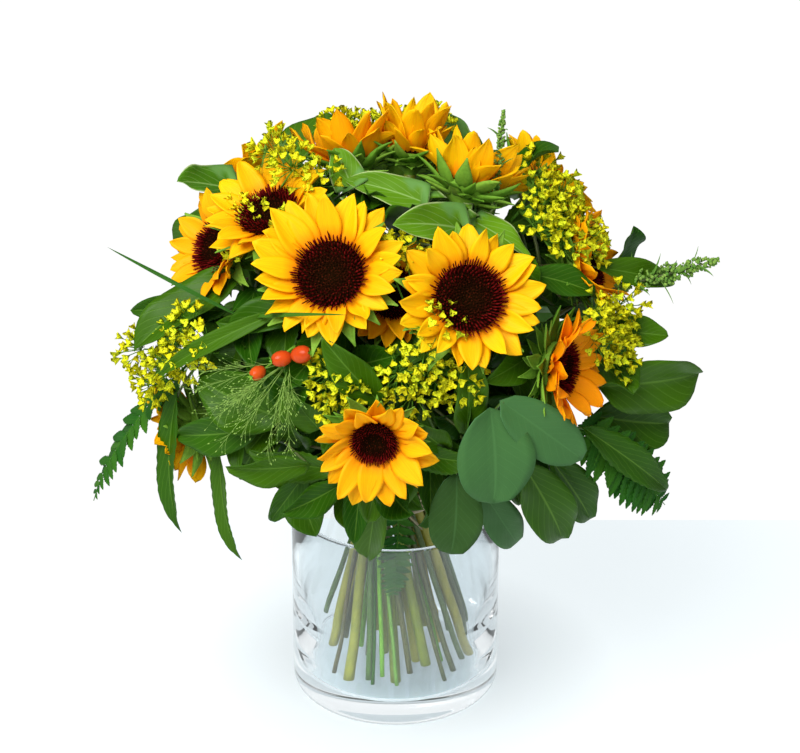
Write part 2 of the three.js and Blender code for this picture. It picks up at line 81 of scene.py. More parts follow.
GOLDEN_TURN = 2.39996
DISC_FLORETS = 380
OPEN_FLORETS_FROM = 0.6
FLORETS_PER_STATICE_SPRAY = 22
FERN_LEAFLET_PAIRS = 15
AMARANTH_FLOWERS = 430
AMARANTH_LEAVES = 11
SEEDS_PER_GRASS_BRANCH = 26
RAFFIA_STRANDS = 14

SUNFLOWERS = [
    {"at": (-21, 43, 165), "face": (-17, 39), "reach": 52, "disc": 23, "cup": 24},
    {"at": (22, 37, 165), "face": (12, 36), "reach": 50, "disc": 23, "cup": 20},
    {"at": (-5, 3, 160), "face": (-5, -4), "reach": 42, "disc": 15, "cup": 30},
    {"at": (-58, 52, 165), "face": (-50, 65), "reach": 46, "disc": 20, "cup": 28},
    {"at": (-74, 36, 160), "face": (-62, 30), "reach": 42, "disc": 19, "cup": 26},
    {"at": (46, 14, 165), "face": (66, 6), "reach": 39, "disc": 17, "cup": 38},
    {"at": (-95, 78, 150), "face": (-165, 55), "reach": 36, "disc": 16, "cup": 48},
    {"at": (130, 84, 152), "face": (165, 70), "reach": 28, "disc": 13, "cup": 58},
    {"at": (65, 68, 150), "face": (150, 48), "reach": 40, "disc": 18, "cup": 48},
    {"at": (-1, 44, 122), "face": (8, 40), "reach": 38, "disc": 17, "cup": 34},
    {"at": (76, 31, 160), "face": (80, 28), "reach": 38, "disc": 17, "cup": 36},
    {"at": (-74, -16, 160), "face": (-98, -25), "reach": 38, "disc": 17, "cup": 32},
    {"at": (178, 30, 160), "face": (180, 28), "reach": 47, "disc": 21, "cup": 22},
    {"at": (124, 36, 160), "face": (124, 34), "reach": 43, "disc": 19, "cup": 28},
    {"at": (-130, 38, 160), "face": (-132, 36), "reach": 44, "disc": 20, "cup": 26},
]

# Heads whose petals are a deeper orange.
WARM_HEADS = {3: 0.45, 5: 0.45, 6: 0.9, 7: 0.4, 10: 0.5, 11: 0.6, 12: 0.3}

# Heads that are longer on one side: by how much, and towards which angle.
LONG_SIDE = {1: (0.16, math.radians(100)), 3: (0.1, math.radians(-90)), 4: (0.1, math.radians(90))}

# Each sprig: its stem's end, then its leaves as (kind, base, tip, width in millimetres).
LEAFY_SPRIGS = {
    "salal_top": ((20, 68, 132), [
        ("heart", (33, 56, 150), (-1, 55, 172), 33),
        ("heart", (23, 69, 142), (-44, 71, 152), 26),
        ("heart", (45, 59, 142), (53, 41, 152), 24),
        ("heart", (-37, 71, 148), (-62, 74, 168), 24),
    ]),
    "salal_top_left": ((-100, 40, 130), [
        ("heart", (-98, 45, 160), (-87, 41, 198), 34),
        ("broad", (-112, 50, 140), (-150, 60, 165), 30),
        ("broad", (-108, 28, 140), (-118, 12, 185), 30),
    ]),
    "salal_left": ((-62, 26, 128), [
        ("broad", (-63, 35, 142), (-67, 10, 196), 34),
        ("broad", (-62, 24, 140), (-78, 14, 192), 22),
        ("slim", (-36, 32, 150), (-59, 8, 188), 13),
        ("serrated", (-65, 0, 165), (-63, -33, 200), 20),
    ]),
    "salal_left_low": ((-50, -4, 122), [
        ("serrated", (-57, -16, 150), (-52, -43, 186), 17),
        ("broad", (-24, -10, 142), (-39, -6, 182), 24),
        ("broad", (-34, 1, 136), (-55, 8, 164), 42),
        ("broad", (-41, -4, 140), (-63, -10, 172), 28),
    ]),
    "salal_front": ((-12, -14, 112), [
        ("broad", (-17, -20, 132), (-28, -18, 172), 22),
        ("broad", (-6, -24, 130), (-13, -55, 152), 24),
        ("broad", (-30, -20, 128), (-40, -32, 158), 20),
    ]),
    "salal_centre": ((8, 10, 116), [
        ("broad", (-4, 11, 138), (-19, 28, 168), 26),
        ("broad", (20, 0, 138), (20, 24, 152), 26),
        ("broad", (14, -4, 136), (4, 8, 150), 24),
        ("broad", (44, 18, 140), (24, 16, 152), 24),
        ("broad", (-23, -1, 130), (-30, 14, 152), 30),
    ]),
    "salal_right_top": ((74, 36, 128), [
        ("slim", (72, 30, 165), (85, 16, 202), 20),
        ("broad", (90, 22, 165), (88, 30, 190), 26),
        ("slim", (52, 38, 148), (64, 26, 168), 22),
        ("slim", (110, 55, 146), (84, 54, 190), 20),
        ("broad", (70, 14, 160), (74, 10, 198), 22),
    ]),
    "salal_right": ((66, 0, 126), [
        ("broad", (62, 2, 158), (82, -2, 214), 44),
        ("broad", (64, -8, 152), (80, -13, 200), 40),
        ("broad", (66, 8, 150), (62, 2, 184), 34),
    ]),
    "salal_back_left": ((-140, 4, 124), [
        ("broad", (-120, 4, 150), (-112, -20, 196), 34),
        ("broad", (-138, -4, 148), (-140, -34, 186), 34),
        ("broad", (-150, 14, 146), (-164, -8, 190), 36),
        ("broad", (-128, 18, 142), (-122, 14, 188), 32),
        ("broad", (-160, 62, 118), (-118, 66, 158), 28),
        ("slim", (-150, 40, 120), (-178, 42, 160), 26),
    ]),
    "salal_back_right": ((150, 8, 124), [
        ("broad", (118, 0, 150), (112, -22, 192), 36),
        ("broad", (140, 2, 148), (142, -30, 186), 34),
        ("broad", (160, 8, 146), (172, -22, 186), 34),
        ("broad", (146, 24, 142), (152, 10, 190), 34),
        ("heart", (150, 52, 138), (160, 62, 168), 32),
        ("broad", (160, 60, 116), (100, 62, 156), 28),
        ("slim", (150, 38, 120), (152, 46, 164), 26),
    ]),
    "eucalyptus_front": ((22, -6, 124), [
        ("round", (25, 9, 152), (24, -15, 168), 54),
        ("round", (27, 11, 157), (45, -7, 180), 36),
        ("round", (17, -10, 144), (16, -34, 166), 37),
        ("round", (26, -20, 140), (46, -44, 164), 27),
    ]),
    "eucalyptus_right": ((48, -8, 126), [
        ("broad", (37, -12, 146), (55, -38, 180), 36),
        ("broad", (46, -13, 150), (62, -33, 184), 30),
        ("serrated", (52, -4, 162), (71, -22, 216), 24),
    ]),
    "eucalyptus_back": ((-176, 0, 124), [
        ("round", (-172, 6, 150), (-174, -20, 182), 50),
        ("round", (176, -4, 150), (160, -22, 188), 40),
        ("round", (-164, -6, 148), (-154, -26, 186), 38),
    ]),
}

FERNS = {
    "fern_left": {"end": (-74, 2, 150), "tip": (-71, -21, 238), "width": 34, "arch": 12},
    "fern_right": {"end": (54, -6, 150), "tip": (71, -25, 220), "width": 42, "arch": 10},
    "fern_front": {"end": (4, -56, 92), "tip": (-2, -72, 182), "width": 22, "arch": 14},
}

STATICE = {
    "statice_front": ((10, 22, 138), [(9, 21, 157), (18, 16, 154), (5, 14, 152), (14, 32, 166),
                                      (-17, 16, 156)]),
    "statice_left": ((-66, 10, 152), [(-66, 6, 184), (-58, 12, 176), (-72, 8, 196)]),
    "statice_top_left": ((-70, 52, 150), [(-66, 46, 170), (-76, 62, 188), (-40, 52, 170)]),
    "statice_top_right": ((80, 52, 140), [(76, 44, 168), (66, 48, 166), (86, 46, 176), (96, 52, 172)]),
    "statice_right": ((66, 20, 150), [(65, 15, 178), (72, 19, 182), (62, 20, 174)]),
    "statice_back": ((-168, 50, 140), [(-170, 52, 164), (-158, 46, 162), (178, 58, 162)]),
}

# Further sprays of the same statice stems, which fill the gaps between the heads.
MORE_STATICE = {
    "statice_front": [(-13, 14, 152), (-14, 7, 150), (1, 20, 156), (9, 26, 158), (12, 17, 152),
                      (-19, 19, 154), (-4, 51, 164), (4, 53, 160)],
    "statice_left": [(-67, 2, 190), (-62, 9, 186), (-62, 14, 182), (-54, 17, 175), (-60, 20, 180)],
    "statice_top_left": [(-69, 49, 170), (-62, 42, 166), (-62, 63, 184), (-50, 65, 170)],
    "statice_top_right": [(76, 51, 170), (77, 45, 172), (79, 38, 172), (66, 39, 172), (74, 35, 176),
                          (65, 44, 166)],
    "statice_right": [(64, 18, 176), (58, 16, 178), (65, 9, 178), (63, 21, 174)],
    "statice_back": [(-160, 52, 166), (170, 50, 164), (-150, 60, 164), (160, 62, 166)],
}

AMARANTH = {
    "amaranth_top": {"end": (58, 58, 148), "tip": (71, 68, 206), "radius": 4.2},
    "amaranth_right": {"end": (76, 22, 168), "tip": (82, 20, 238), "radius": 9},
}

PANICUM = {
    "end": (-30, 20, 150),
    "tips": [(-44, 3, 176), (-36, 10, 186), (-26, 6, 178), (-46, 14, 186), (-30, -2, 172), (-22, 14, 182)],
    "more_tips": [(-40, 8, 178), (-50, 8, 180), (-34, 4, 182), (-42, -3, 176), (-24, 1, 172), (-48, 2, 174)],
}

ROSEHIPS = {
    "end": (-30, 24, 146),
    "hips": [(-25, 23, 160), (-30, 21, 161), (-36, 16, 162)],
    "lean": [Vector((1.6, 0, 0.3)), Vector((-1.4, 0, -0.4)), Vector((-0.6, -0.6, -0.4))],
    "radius": 7,
}

BEAR_GRASS = {
    "end": (-50, 26, 150),
    "blades": [
        (None, (-71, 28, 232), 4),
        (None, (-11, 33, 193), 16),
    ],
    "width": 3,
}


# ---- Settings that a user would change --------------------------------------------------------

def colour_setting(name, description, default):
    return bpy.props.FloatVectorProperty(
        name=name, description=description, default=default, size=3, subtype="COLOR", min=0, max=1
    )


class BouquetSettings(bpy.types.PropertyGroup):
    petal_tip: colour_setting("Petal tip", "Colour of a ray petal's outer part", (1.0, 0.66, 0.002))
    petal_base: colour_setting("Petal base", "Colour of a ray petal beside the disc", (1.0, 0.27, 0.001))
    disc_rim: colour_setting("Disc rim", "Colour of the disc's open florets", (0.07, 0.003, 0.003))
    disc_heart: colour_setting("Disc heart", "Colour of the disc's closed middle", (0.008, 0.006, 0.001))
    leaf: colour_setting("Leaf", "Colour of the broad leaves' upper side", (0.018, 0.088, 0.002))
    heart_leaf: colour_setting("Heart leaf", "Colour of the heart-shaped leaves", (0.055, 0.19, 0.006))
    eucalyptus: colour_setting("Eucalyptus", "Colour of the round leaves", (0.03, 0.085, 0.01))
    statice: colour_setting("Statice", "Colour of the small filler flowers", (0.95, 0.88, 0.012))
    rosehip: colour_setting("Rosehip", "Colour of the hips", (0.5, 0.035, 0.006))
    stem: colour_setting("Stem", "Colour of the thick stems", (0.13, 0.2, 0.008))
    petals_per_row: bpy.props.IntProperty(
        name="Petals per row", description="Ray petals in each of a large head's two rows",
        default=13, min=8, max=20
    )


class StudioSettings(bpy.types.PropertyGroup):
    floor_colour: colour_setting("Floor", "Colour of the table top", (0.9, 0.97, 1.0))
    # Painted light: the table top glows though it is no lamp, which lifts the shadows cast on it.
    painted_floor_glow: bpy.props.FloatProperty(
        name="Floor lift", description="Light of the table top's own, which softens the shadow on it",
        default=0.82, min=0, max=2
    )
    backdrop_strength: bpy.props.FloatProperty(
        name="Backdrop strength", description="Brightness of the white surroundings as seen",
        default=1.02, min=0, max=5
    )
    fill_strength: bpy.props.FloatProperty(
        name="Fill strength", description="Light that comes from all round", default=0.4, min=0, max=5
    )
    key_power: bpy.props.FloatProperty(
        name="Key light", description="Power of the large soft light", default=105, min=0, unit="POWER"
    )


# ---- Places, rails and masters ----------------------------------------------------------------

def dome(place):
    azimuth, elevation, radius = math.radians(place[0]), math.radians(place[1]), place[2] * MM
    flat = radius * math.cos(elevation)
    offset = Vector((flat * math.sin(azimuth), -flat * math.cos(azimuth), radius * math.sin(elevation)))
    return DOME_CENTRE + offset


def outwards(point):
    """The direction from the dome's centre to a point."""
    return (point - DOME_CENTRE).normalized()


def facing(angles):
    return outwards(dome((*angles, 1000)))


def bezier(points, t):
    """A point on the Bezier curve of any number of control points."""
    while len(points) > 1:
        points = [a.lerp(b, t) for a, b in zip(points, points[1:])]
    return points[0]


def rail(points, facing_side, twist=0.0):
    """A function from 0..1 to (point, sideways, normal) along a Bezier curve whose normal faces one side."""
    def at(t):
        point = bezier(points, t)
        along = (bezier(points, min(t + 0.02, 1.0)) - bezier(points, max(t - 0.02, 0.0))).normalized()
        sideways = along.cross(facing_side).normalized()
        normal = sideways.cross(along)
        if twist:
            turn = Matrix.Rotation(twist * t, 3, along)
            sideways, normal = turn @ sideways, turn @ normal
        return point, sideways, normal
    return at


class Gathering:
    """Collects copies of master meshes, each laid along a rail or set by a matrix, into one new mesh."""

    def __init__(self):
        self.bm = bmesh.new()
        self.tone = self.bm.verts.layers.float.new("tone")

    def _copy(self, master, tone):
        start = len(self.bm.verts)
        self.bm.from_mesh(master)
        self.bm.verts.ensure_lookup_table()
        fresh = self.bm.verts[start:]
        for vert in fresh:
            vert[self.tone] = tone
        return fresh

    def lay(self, master, at, across, through, tone=0.5):
        """Master's y runs 0..1 along the rail, its x goes sideways and its z along the normal."""
        for vert in self._copy(master, tone):
            point, sideways, normal = at(vert.co.y)
            wide = across(vert.co.y) if callable(across) else across
            deep = through(vert.co.y) if callable(through) else through
            vert.co = point + sideways * (vert.co.x * wide) + normal * (vert.co.z * deep)

    def put(self, master, matrix, tone=0.5):
        for vert in self._copy(master, tone):
            vert.co = matrix @ vert.co

    def finish(self, name, material):
        mesh = bpy.data.meshes.new(name)
        self.bm.normal_update()
        self.bm.to_mesh(mesh)
        self.bm.free()
        mesh.materials.append(material)
        mesh.polygons.foreach_set("use_smooth", [True] * len(mesh.polygons))
        piece = bpy.data.objects.new(name, mesh)
        bpy.context.scene.collection.objects.link(piece)
        return piece


def frame_matrix(origin, up, turn=0.0, size=1.0):
    """Turns +Z to up at origin, after a turn about Z and a scale."""
    look = Vector((0, 0, 1)).rotation_difference(up).to_matrix().to_4x4()
    return Matrix.Translation(origin) @ look @ Matrix.Rotation(turn, 4, "Z") @ Matrix.Scale(size, 4)


def select_only(piece):
    bpy.ops.object.select_all(action="DESELECT")
    piece.select_set(True)
    bpy.context.view_layer.objects.active = piece


def apply_modifier(piece, kind, **values):
    select_only(piece)
    modifier = piece.modifiers.new(kind.title(), kind)
    for key, value in values.items():
        setattr(modifier, key, value)
    bpy.ops.object.modifier_apply(modifier=modifier.name)


def take_master(piece):
    """Keeps a finished primitive's mesh as a master and removes its object."""
    mesh = piece.data
    mesh.name = "master_" + piece.name
    bpy.data.objects.remove(piece)
    return mesh


def edit_all(action, **values):
    """Runs one edit-mode operator on everything in the active mesh."""
    bpy.ops.object.mode_set(mode="EDIT")
    bpy.ops.mesh.select_all(action="SELECT")
    action(**values)
    bpy.ops.object.mode_set(mode="OBJECT")


def blade_master(name, across, along, outline, relief, thickness=0.012, lobes=0.0):
    """A flat blade of length 1: outline gives its half-width at a share of its length, relief its height.

    Lobes is how far its two sides reach back behind its base.
    """
    def height(side, share):
        return relief(side, share) * min(1.0, 6 * outline(share))

    bpy.ops.mesh.primitive_grid_add(x_subdivisions=across, y_subdivisions=along, size=1)
    piece = bpy.context.object
    piece.name = name
    for vert in piece.data.vertices:
        side, share = 2 * vert.co.x, vert.co.y + 0.5
        back = lobes * side * side * max(0.0, 1 - share / 0.4)
        vert.co = (side * outline(share), share - back, height(side, share))
    apply_modifier(piece, "SOLIDIFY", thickness=thickness, offset=-1, use_even_offset=False)
    edit_all(bpy.ops.mesh.remove_doubles, threshold=0.002)
    under = piece.data.attributes.new("under", "FLOAT", "POINT")
    for vert in piece.data.vertices:
        half = outline(vert.co.y)
        side = max(-1, min(1, vert.co.x / half)) if half else 0
        under.data[vert.index].value = float(vert.co.z < height(side, vert.co.y) - 0.5 * thickness)
    return take_master(piece)


def tube_master(name, sides, rings):
    """A closed tube of radius 1 along y from 0 to 1, with rings of edges between its ends."""
    bpy.ops.mesh.primitive_grid_add(x_subdivisions=sides, y_subdivisions=rings + 1, size=1)
    piece = bpy.context.object
    piece.name = name
    for vert in piece.data.vertices:
        turn = TAU * vert.co.x
        vert.co = (math.sin(turn), vert.co.y + 0.5, math.cos(turn))
    edit_all(bpy.ops.mesh.remove_doubles, threshold=0.001)
    edit_all(bpy.ops.mesh.fill_holes, sides=sides)
    edit_all(bpy.ops.mesh.normals_make_consistent, inside=False)
    return take_master(piece)


def spun_piece(name, profile, steps):
    """Turns a profile of (radius, height) points, which starts and ends on the axis, into a closed solid."""
    mesh = bpy.data.meshes.new(name)
    points = [Vector((radius, 0, height)) for radius, height in profile]
    mesh.from_pydata(points, [(k, k + 1) for k in range(len(points) - 1)], [])
    piece = bpy.data.objects.new(name, mesh)
    bpy.context.scene.collection.objects.link(piece)
    select_only(piece)
    edit_all(bpy.ops.mesh.spin, steps=steps, angle=TAU, center=(0, 0, 0), axis=(0, 0, 1))
    edit_all(bpy.ops.mesh.remove_doubles, threshold=0.00001)
    edit_all(bpy.ops.mesh.normals_make_consistent, inside=False)
    bpy.ops.object.shade_smooth_by_angle(angle=math.radians(35))
    return piece


def arc(centre_x, centre_z, radius, start, end, steps=10):
    """Points (x, z) along part of a circle, from one angle to another in degrees."""
    turns = [math.radians(start + (end - start) * k / steps) for k in range(steps + 1)]
    return [(centre_x + radius * math.cos(turn), centre_z + radius * math.sin(turn)) for turn in turns]


# ---- Materials --------------------------------------------------------------------------------

def shaded(colour, share):
    """A colour times a share."""
    return tuple(share * part for part in colour)


class Finish:
    """A small helper that wires one node material."""

    def __init__(self, name, roughness=0.5, specular=0.5):
        self.material = bpy.data.materials.new(name)
        self.material.use_nodes = True
        self.tree = self.material.node_tree
        self.shader = self.tree.nodes["Principled BSDF"]
        self.output = self.tree.nodes["Material Output"]
        self.shader.inputs["Roughness"].default_value = roughness
        self.shader.inputs["Specular IOR Level"].default_value = specular

    def node(self, kind, **values):
        made = self.tree.nodes.new(kind)
        for key, value in values.items():
            setattr(made, key, value)
        return made

    def link(self, source, target):
        self.tree.links.new(source, target)

    def math(self, operation, first, second=0.0):
        made = self.node("ShaderNodeMath", operation=operation)
        for socket, value in zip(made.inputs, (first, second)):
            if isinstance(value, (int, float)):
                socket.default_value = value
            else:
                self.link(value, socket)
        return made.outputs[0]

    def mix(self, share, first, second):
        made = self.node("ShaderNodeMix", data_type="RGBA")
        for socket, value in zip((made.inputs[0], made.inputs[6], made.inputs[7]), (share, first, second)):
            if isinstance(value, (int, float)):
                socket.default_value = value
            elif isinstance(value, tuple):
                socket.default_value = (*value[:3], 1)
            else:
                self.link(value, socket)
        return made.outputs[2]

    def ramp(self, factor, *stops):
        made = self.node("ShaderNodeValToRGB")
        elements = made.color_ramp.elements
        while len(elements) < len(stops):
            elements.new(0.5)
        for element, (place, value) in zip(elements, stops):
            element.position = place
            element.color = (*value, 1) if isinstance(value, tuple) else (value, value, value, 1)
        self.link(factor, made.inputs[0])
        return made.outputs[0]

    def attribute(self, name):
        return self.node("ShaderNodeAttribute", attribute_name=name).outputs["Fac"]

    def object_place(self):
        return self.node("ShaderNodeTexCoord").outputs["Object"]

    def sheet_place(self):
        """The piece's own map as (u, v) numbers."""
        place = self.node("ShaderNodeUVMap").outputs[0]
        split = self.node("ShaderNodeSeparateXYZ")
        self.link(place, split.inputs[0])
        return place, split.outputs[0], split.outputs[1]

    def noise(self, place, scale, detail=3.0, stretch=None):
        if stretch:
            mapping = self.node("ShaderNodeMapping")
            mapping.inputs["Scale"].default_value = stretch
            self.link(place, mapping.inputs[0])
            place = mapping.outputs[0]
        made = self.node("ShaderNodeTexNoise")
        made.inputs["Scale"].default_value = scale
        made.inputs["Detail"].default_value = detail
        self.link(place, made.inputs["Vector"])
        return made.outputs[0]

    def bump(self, height, strength, distance):
        made = self.node("ShaderNodeBump")
        made.inputs["Strength"].default_value = strength
        made.inputs["Distance"].default_value = distance
        self.link(height, made.inputs["Height"])
        self.link(made.outputs[0], self.shader.inputs["Normal"])

    def glow_through(self, share, colour):
        """Lets some light through, as thin living tissue does."""
        translucent = self.node("ShaderNodeBsdfTranslucent")
        self.link(colour, translucent.inputs[0])
        blend = self.node("ShaderNodeMixShader")
        blend.inputs[0].default_value = share
        self.link(self.shader.outputs[0], blend.inputs[1])
        self.link(translucent.outputs[0], blend.inputs[2])
        self.link(blend.outputs[0], self.output.inputs[0])


def petal_finish(settings):
    finish = Finish("petal", roughness=0.55, specular=0.12)
    place, _, along = finish.sheet_place()
    streaks = finish.noise(place, 3.0, 4.0, stretch=(9, 0.6, 1))
    body = finish.ramp(along, (0.12, tuple(settings.petal_base)), (0.42, tuple(settings.petal_tip)),
                       (1.0, (1.0, 0.76, 0.004)))
    toned = finish.mix(finish.math("MULTIPLY", finish.attribute("tone"), 0.8), body, (1.0, 0.36, 0.001))
    lined = finish.mix(finish.ramp(streaks, (0.42, 0.0), (0.62, 0.28)), toned, (0.9, 0.3, 0.0))
    finish.link(lined, finish.shader.inputs["Base Color"])
    finish.link(finish.ramp(streaks, (0.3, 0.42), (0.7, 0.62)), finish.shader.inputs["Roughness"])
    finish.bump(streaks, 0.35, 0.4 * MM)
    finish.glow_through(0.3, lined)
    return finish.material


def leaf_finish(name, colour, vein, under, roughness, vein_strength=0.6, rim=None, pairs=9.0, fresh=None):
    """Upper side with a midrib and side veins, paler underneath."""
    finish = Finish(name, roughness=roughness, specular=0.12)
    _, side, along = finish.sheet_place()
    off_middle = finish.math("ABSOLUTE", finish.math("SUBTRACT", side, 0.5))
    mottled = finish.noise(finish.object_place(), 60.0, 4.0)
    base = finish.mix(finish.ramp(mottled, (0.35, 0.0), (0.7, 0.5)), colour, shaded(colour, 0.62))
    fresh = fresh or (2.2 * colour[0] + 0.02, 1.5 * colour[1] + 0.02, 1.1 * colour[2])
    toned = finish.mix(finish.math("MULTIPLY", finish.attribute("tone"), 0.75), base, fresh)
    slant = 6.4
    phase = finish.math("SUBTRACT", finish.math("MULTIPLY", along, pairs),
                        finish.math("MULTIPLY", off_middle, slant))
    wave = finish.math("ABSOLUTE", finish.math("SUBTRACT", finish.math("FRACT", phase), 0.5))
    side_veins = finish.ramp(wave, (0.0, 1.0), (0.09, 0.0))
    midrib = finish.ramp(off_middle, (0.008, 1.0), (0.03, 0.0))
    veins = finish.math("MAXIMUM", finish.math("MULTIPLY", side_veins, 0.5), midrib)
    veined = finish.mix(finish.math("MULTIPLY", veins, vein_strength), toned, vein)
    if rim:
        edge = finish.ramp(off_middle, (0.455, 0.0), (0.49, 0.8))
        veined = finish.mix(edge, veined, rim)
    both = finish.mix(finish.attribute("under"), veined, under)
    finish.link(both, finish.shader.inputs["Base Color"])
    finish.link(finish.ramp(mottled, (0.3, roughness - 0.08), (0.7, roughness + 0.12)),
                finish.shader.inputs["Roughness"])
    grooves, quilting = finish.math("MULTIPLY", veins, -0.7), finish.math("MULTIPLY", mottled, 0.5)
    finish.bump(finish.math("ADD", grooves, quilting), 0.4, 0.5 * MM)
    finish.glow_through(0.14, both)
    return finish.material


def stem_finish(name, colour, second, roughness=0.5):
    """Long streaks, paler specks and a tone of its own for each stem."""
    finish = Finish(name, roughness=roughness)
    place = finish.object_place()
    streaks = finish.noise(place, 220.0, 3.0, stretch=(1, 1, 0.08))
    specks = finish.noise(place, 900.0, 2.0)
    toned = finish.mix(finish.attribute("tone"), colour, second)
    streaked = finish.mix(finish.ramp(streaks, (0.35, 0.0), (0.7, 0.45)), toned, shaded(colour, 0.55))
    speckled = finish.mix(finish.ramp(specks, (0.62, 0.0), (0.74, 0.35)), streaked, (0.6, 0.58, 0.3))
    finish.link(speckled, finish.shader.inputs["Base Color"])
    finish.bump(finish.math("ADD", streaks, specks), 0.35, 0.4 * MM)
    return finish.material


def disc_finish(settings):
    """tone runs from 0 at the disc's heart to 1 at its rim."""
    finish = Finish("disc", roughness=0.9, specular=0.0)
    speckle = finish.noise(finish.object_place(), 900.0, 2.0)
    body = finish.ramp(finish.attribute("tone"), (0.0, tuple(settings.disc_heart)),
                       (0.5, (0.009, 0.002, 0.001)), (0.72, tuple(settings.disc_rim)),
                       (1.0, (0.17, 0.008, 0.008)))
    tipped = finish.mix(finish.ramp(speckle, (0.55, 0.0), (0.75, 0.5)), body, (0.15, 0.02, 0.008))
    finish.link(tipped, finish.shader.inputs["Base Color"])
    finish.bump(speckle, 0.5, 0.3 * MM)
    return finish.material


def tissue_finish(name, colour, second, roughness=0.6, scale=350.0, glow=0.0, shade=0.4):
    """Small soft plant parts: two colours mixed by each part's tone and a fine grain."""
    finish = Finish(name, roughness=roughness, specular=0.15)
    grain = finish.noise(finish.object_place(), scale, 3.0)
    toned = finish.mix(finish.attribute("tone"), colour, second)
    grained = finish.mix(finish.ramp(grain, (0.4, 0.0), (0.75, shade)), toned, shaded(colour, 0.6))
    finish.link(grained, finish.shader.inputs["Base Color"])
    finish.bump(grain, 0.4, 0.3 * MM)
    if glow:
        finish.glow_through(glow, grained)
    return finish.material


def clear_finish(name, tint, refraction, ripple_scale, ripple_strength):
    """Glass that lets the lamps' light through to what stands in it."""
    finish = Finish(name, roughness=0.0)
    shader = finish.shader
    shader.inputs["Base Color"].default_value = (*tint, 1)
    shader.inputs["Transmission Weight"].default_value = 1.0
    shader.inputs["IOR"].default_value = refraction
    ripple = finish.noise(finish.object_place(), ripple_scale, 2.0)
    finish.bump(ripple, ripple_strength, 0.5 * MM)
    clear = finish.node("ShaderNodeBsdfTransparent")
    clear.inputs[0].default_value = (*tint, 1)
    blend = finish.node("ShaderNodeMixShader")
    finish.link(finish.node("ShaderNodeLightPath").outputs["Is Shadow Ray"], blend.inputs[0])
    finish.link(shader.outputs[0], blend.inputs[1])
    finish.link(clear.outputs[0], blend.inputs[2])
    finish.link(blend.outputs[0], finish.output.inputs[0])
    return finish.material


# ---- Stems ------------------------------------------------------------------------------------

def stem_spots(node):
    """Where a stem passes the tie and where it is cut off, read from its solid in the frame."""
    corners = [vert.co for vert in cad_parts[node].data.vertices]
    waist = [co for co in corners if abs(co.z - TIE_HEIGHT) < 1.5 * MM]
    lowest = min(co.z for co in corners)
    foot = [co for co in corners if co.z < lowest + 1.0 * MM]
    centre = lambda group: sum(group, Vector()) / len(group)
    foot = centre(foot)
    inside = min(FOOT_SPREAD, FOOT_LIMIT / max(1 * MM, math.hypot(foot.x, foot.y)))
    return centre(waist), Vector((foot.x * inside, foot.y * inside, foot.z))


def stem_curve(node, end, lead):
    """Control points above the tie, and the foot below it."""
    waist, foot = stem_spots(node)
    rise = Vector((waist.x * 1.5, waist.y * 1.5, TIE_HEIGHT + STEM_RISE))
    approach = end - lead * (0.3 * (end - waist).length)
    return [waist, rise, approach, end], foot


def stem_rail(curve, foot):
    """Runs from the stem's top at 0 to its foot at 1."""
    share = 0.62

    def at(t):
        if t < share:
            point = bezier(curve, 1 - t / share)
            ahead = bezier(curve, max(0.0, 1 - (t + 0.02) / share))
        else:
            point = curve[0].lerp(foot, (t - share) / (1 - share))
            ahead = point + (foot - curve[0]) * 0.05
        along = (ahead - point).normalized()
        sideways = along.cross(Vector((0.31, 0.95, 0.02))).normalized()
        return point, sideways, sideways.cross(along)
    return at


def lay_stem(gathering, master, node, end, lead, radius, tone, top_radius=None, seed=0):
    """A whole stem with a few swollen knots, thinner towards its top."""
    curve, foot = stem_curve(node, end, lead)
    draws = random.Random(seed)
    knots = [draws.uniform(0.1, 0.95) for _ in range(3)]
    top = top_radius or 0.5 * radius

    def girth(t):
        body = top + (radius - top) * min(1.0, t / 0.35)
        swell = sum(0.16 * math.exp(-(((t - knot) / 0.012) ** 2)) for knot in knots)
        return body * (1 + swell)
    gathering.lay(master, stem_rail(curve, foot), girth, girth, tone)
    return curve


def nearest_foot(curve, place, lowest=0.6):
    """The point of a stem's upper part that is nearest to a place."""
    steps = 8
    feet = [bezier(curve, lowest + (1 - lowest) * k / steps) for k in range(steps + 1)]
    return min(feet, key=lambda point: (point - place).length)


# ---- Blooms -----------------------------------------------------------------------------------

def head_axes(flower):
    normal = facing(flower["face"])
    back = dome(flower["at"]) - normal * HEAD_DEPTH
    turn = Vector((0, 0, 1)).rotation_difference(normal).to_matrix()
    return back, turn, normal


def ray_rail(back, turn, angle, start, rise, length, slope, curl, twist=0.0, sweep=0.0):
    """Runs outwards from a head's rim at one angle, climbing at slope and curling along its length."""
    steps = 8
    radial = Vector((math.cos(angle), math.sin(angle), 0))
    tangent = Vector((-math.sin(angle), math.cos(angle), 0))
    points = [radial * start + Vector((0, 0, rise))]
    for k in range(steps):
        climb = slope + curl * (k / steps - 0.35)
        drift = sweep * k / steps
        step = radial * math.cos(climb) * math.cos(drift) + tangent * math.sin(drift)
        step = step + Vector((0, 0, math.sin(climb)))
        points.append(points[-1] + step * (length / steps))

    def at(t):
        place = min(max(t, 0.0), 0.999) * steps
        k = int(place)
        point = points[k].lerp(points[k + 1], place - k)
        along = (points[k + 1] - points[k]).normalized()
        if 0 < k < steps:
            before = (points[k] - points[k - 1]).normalized()
            along = before.lerp(along, min(1.0, 0.5 + place - k)).normalized()
        sideways = along.cross(Vector((0, 0, 1))).normalized()
        normal = sideways.cross(along)
        if twist:
            roll = Matrix.Rotation(twist * t, 3, along)
            sideways, normal = roll @ sideways, roll @ normal
        return back + turn @ point, turn @ sideways, turn @ normal
    return at


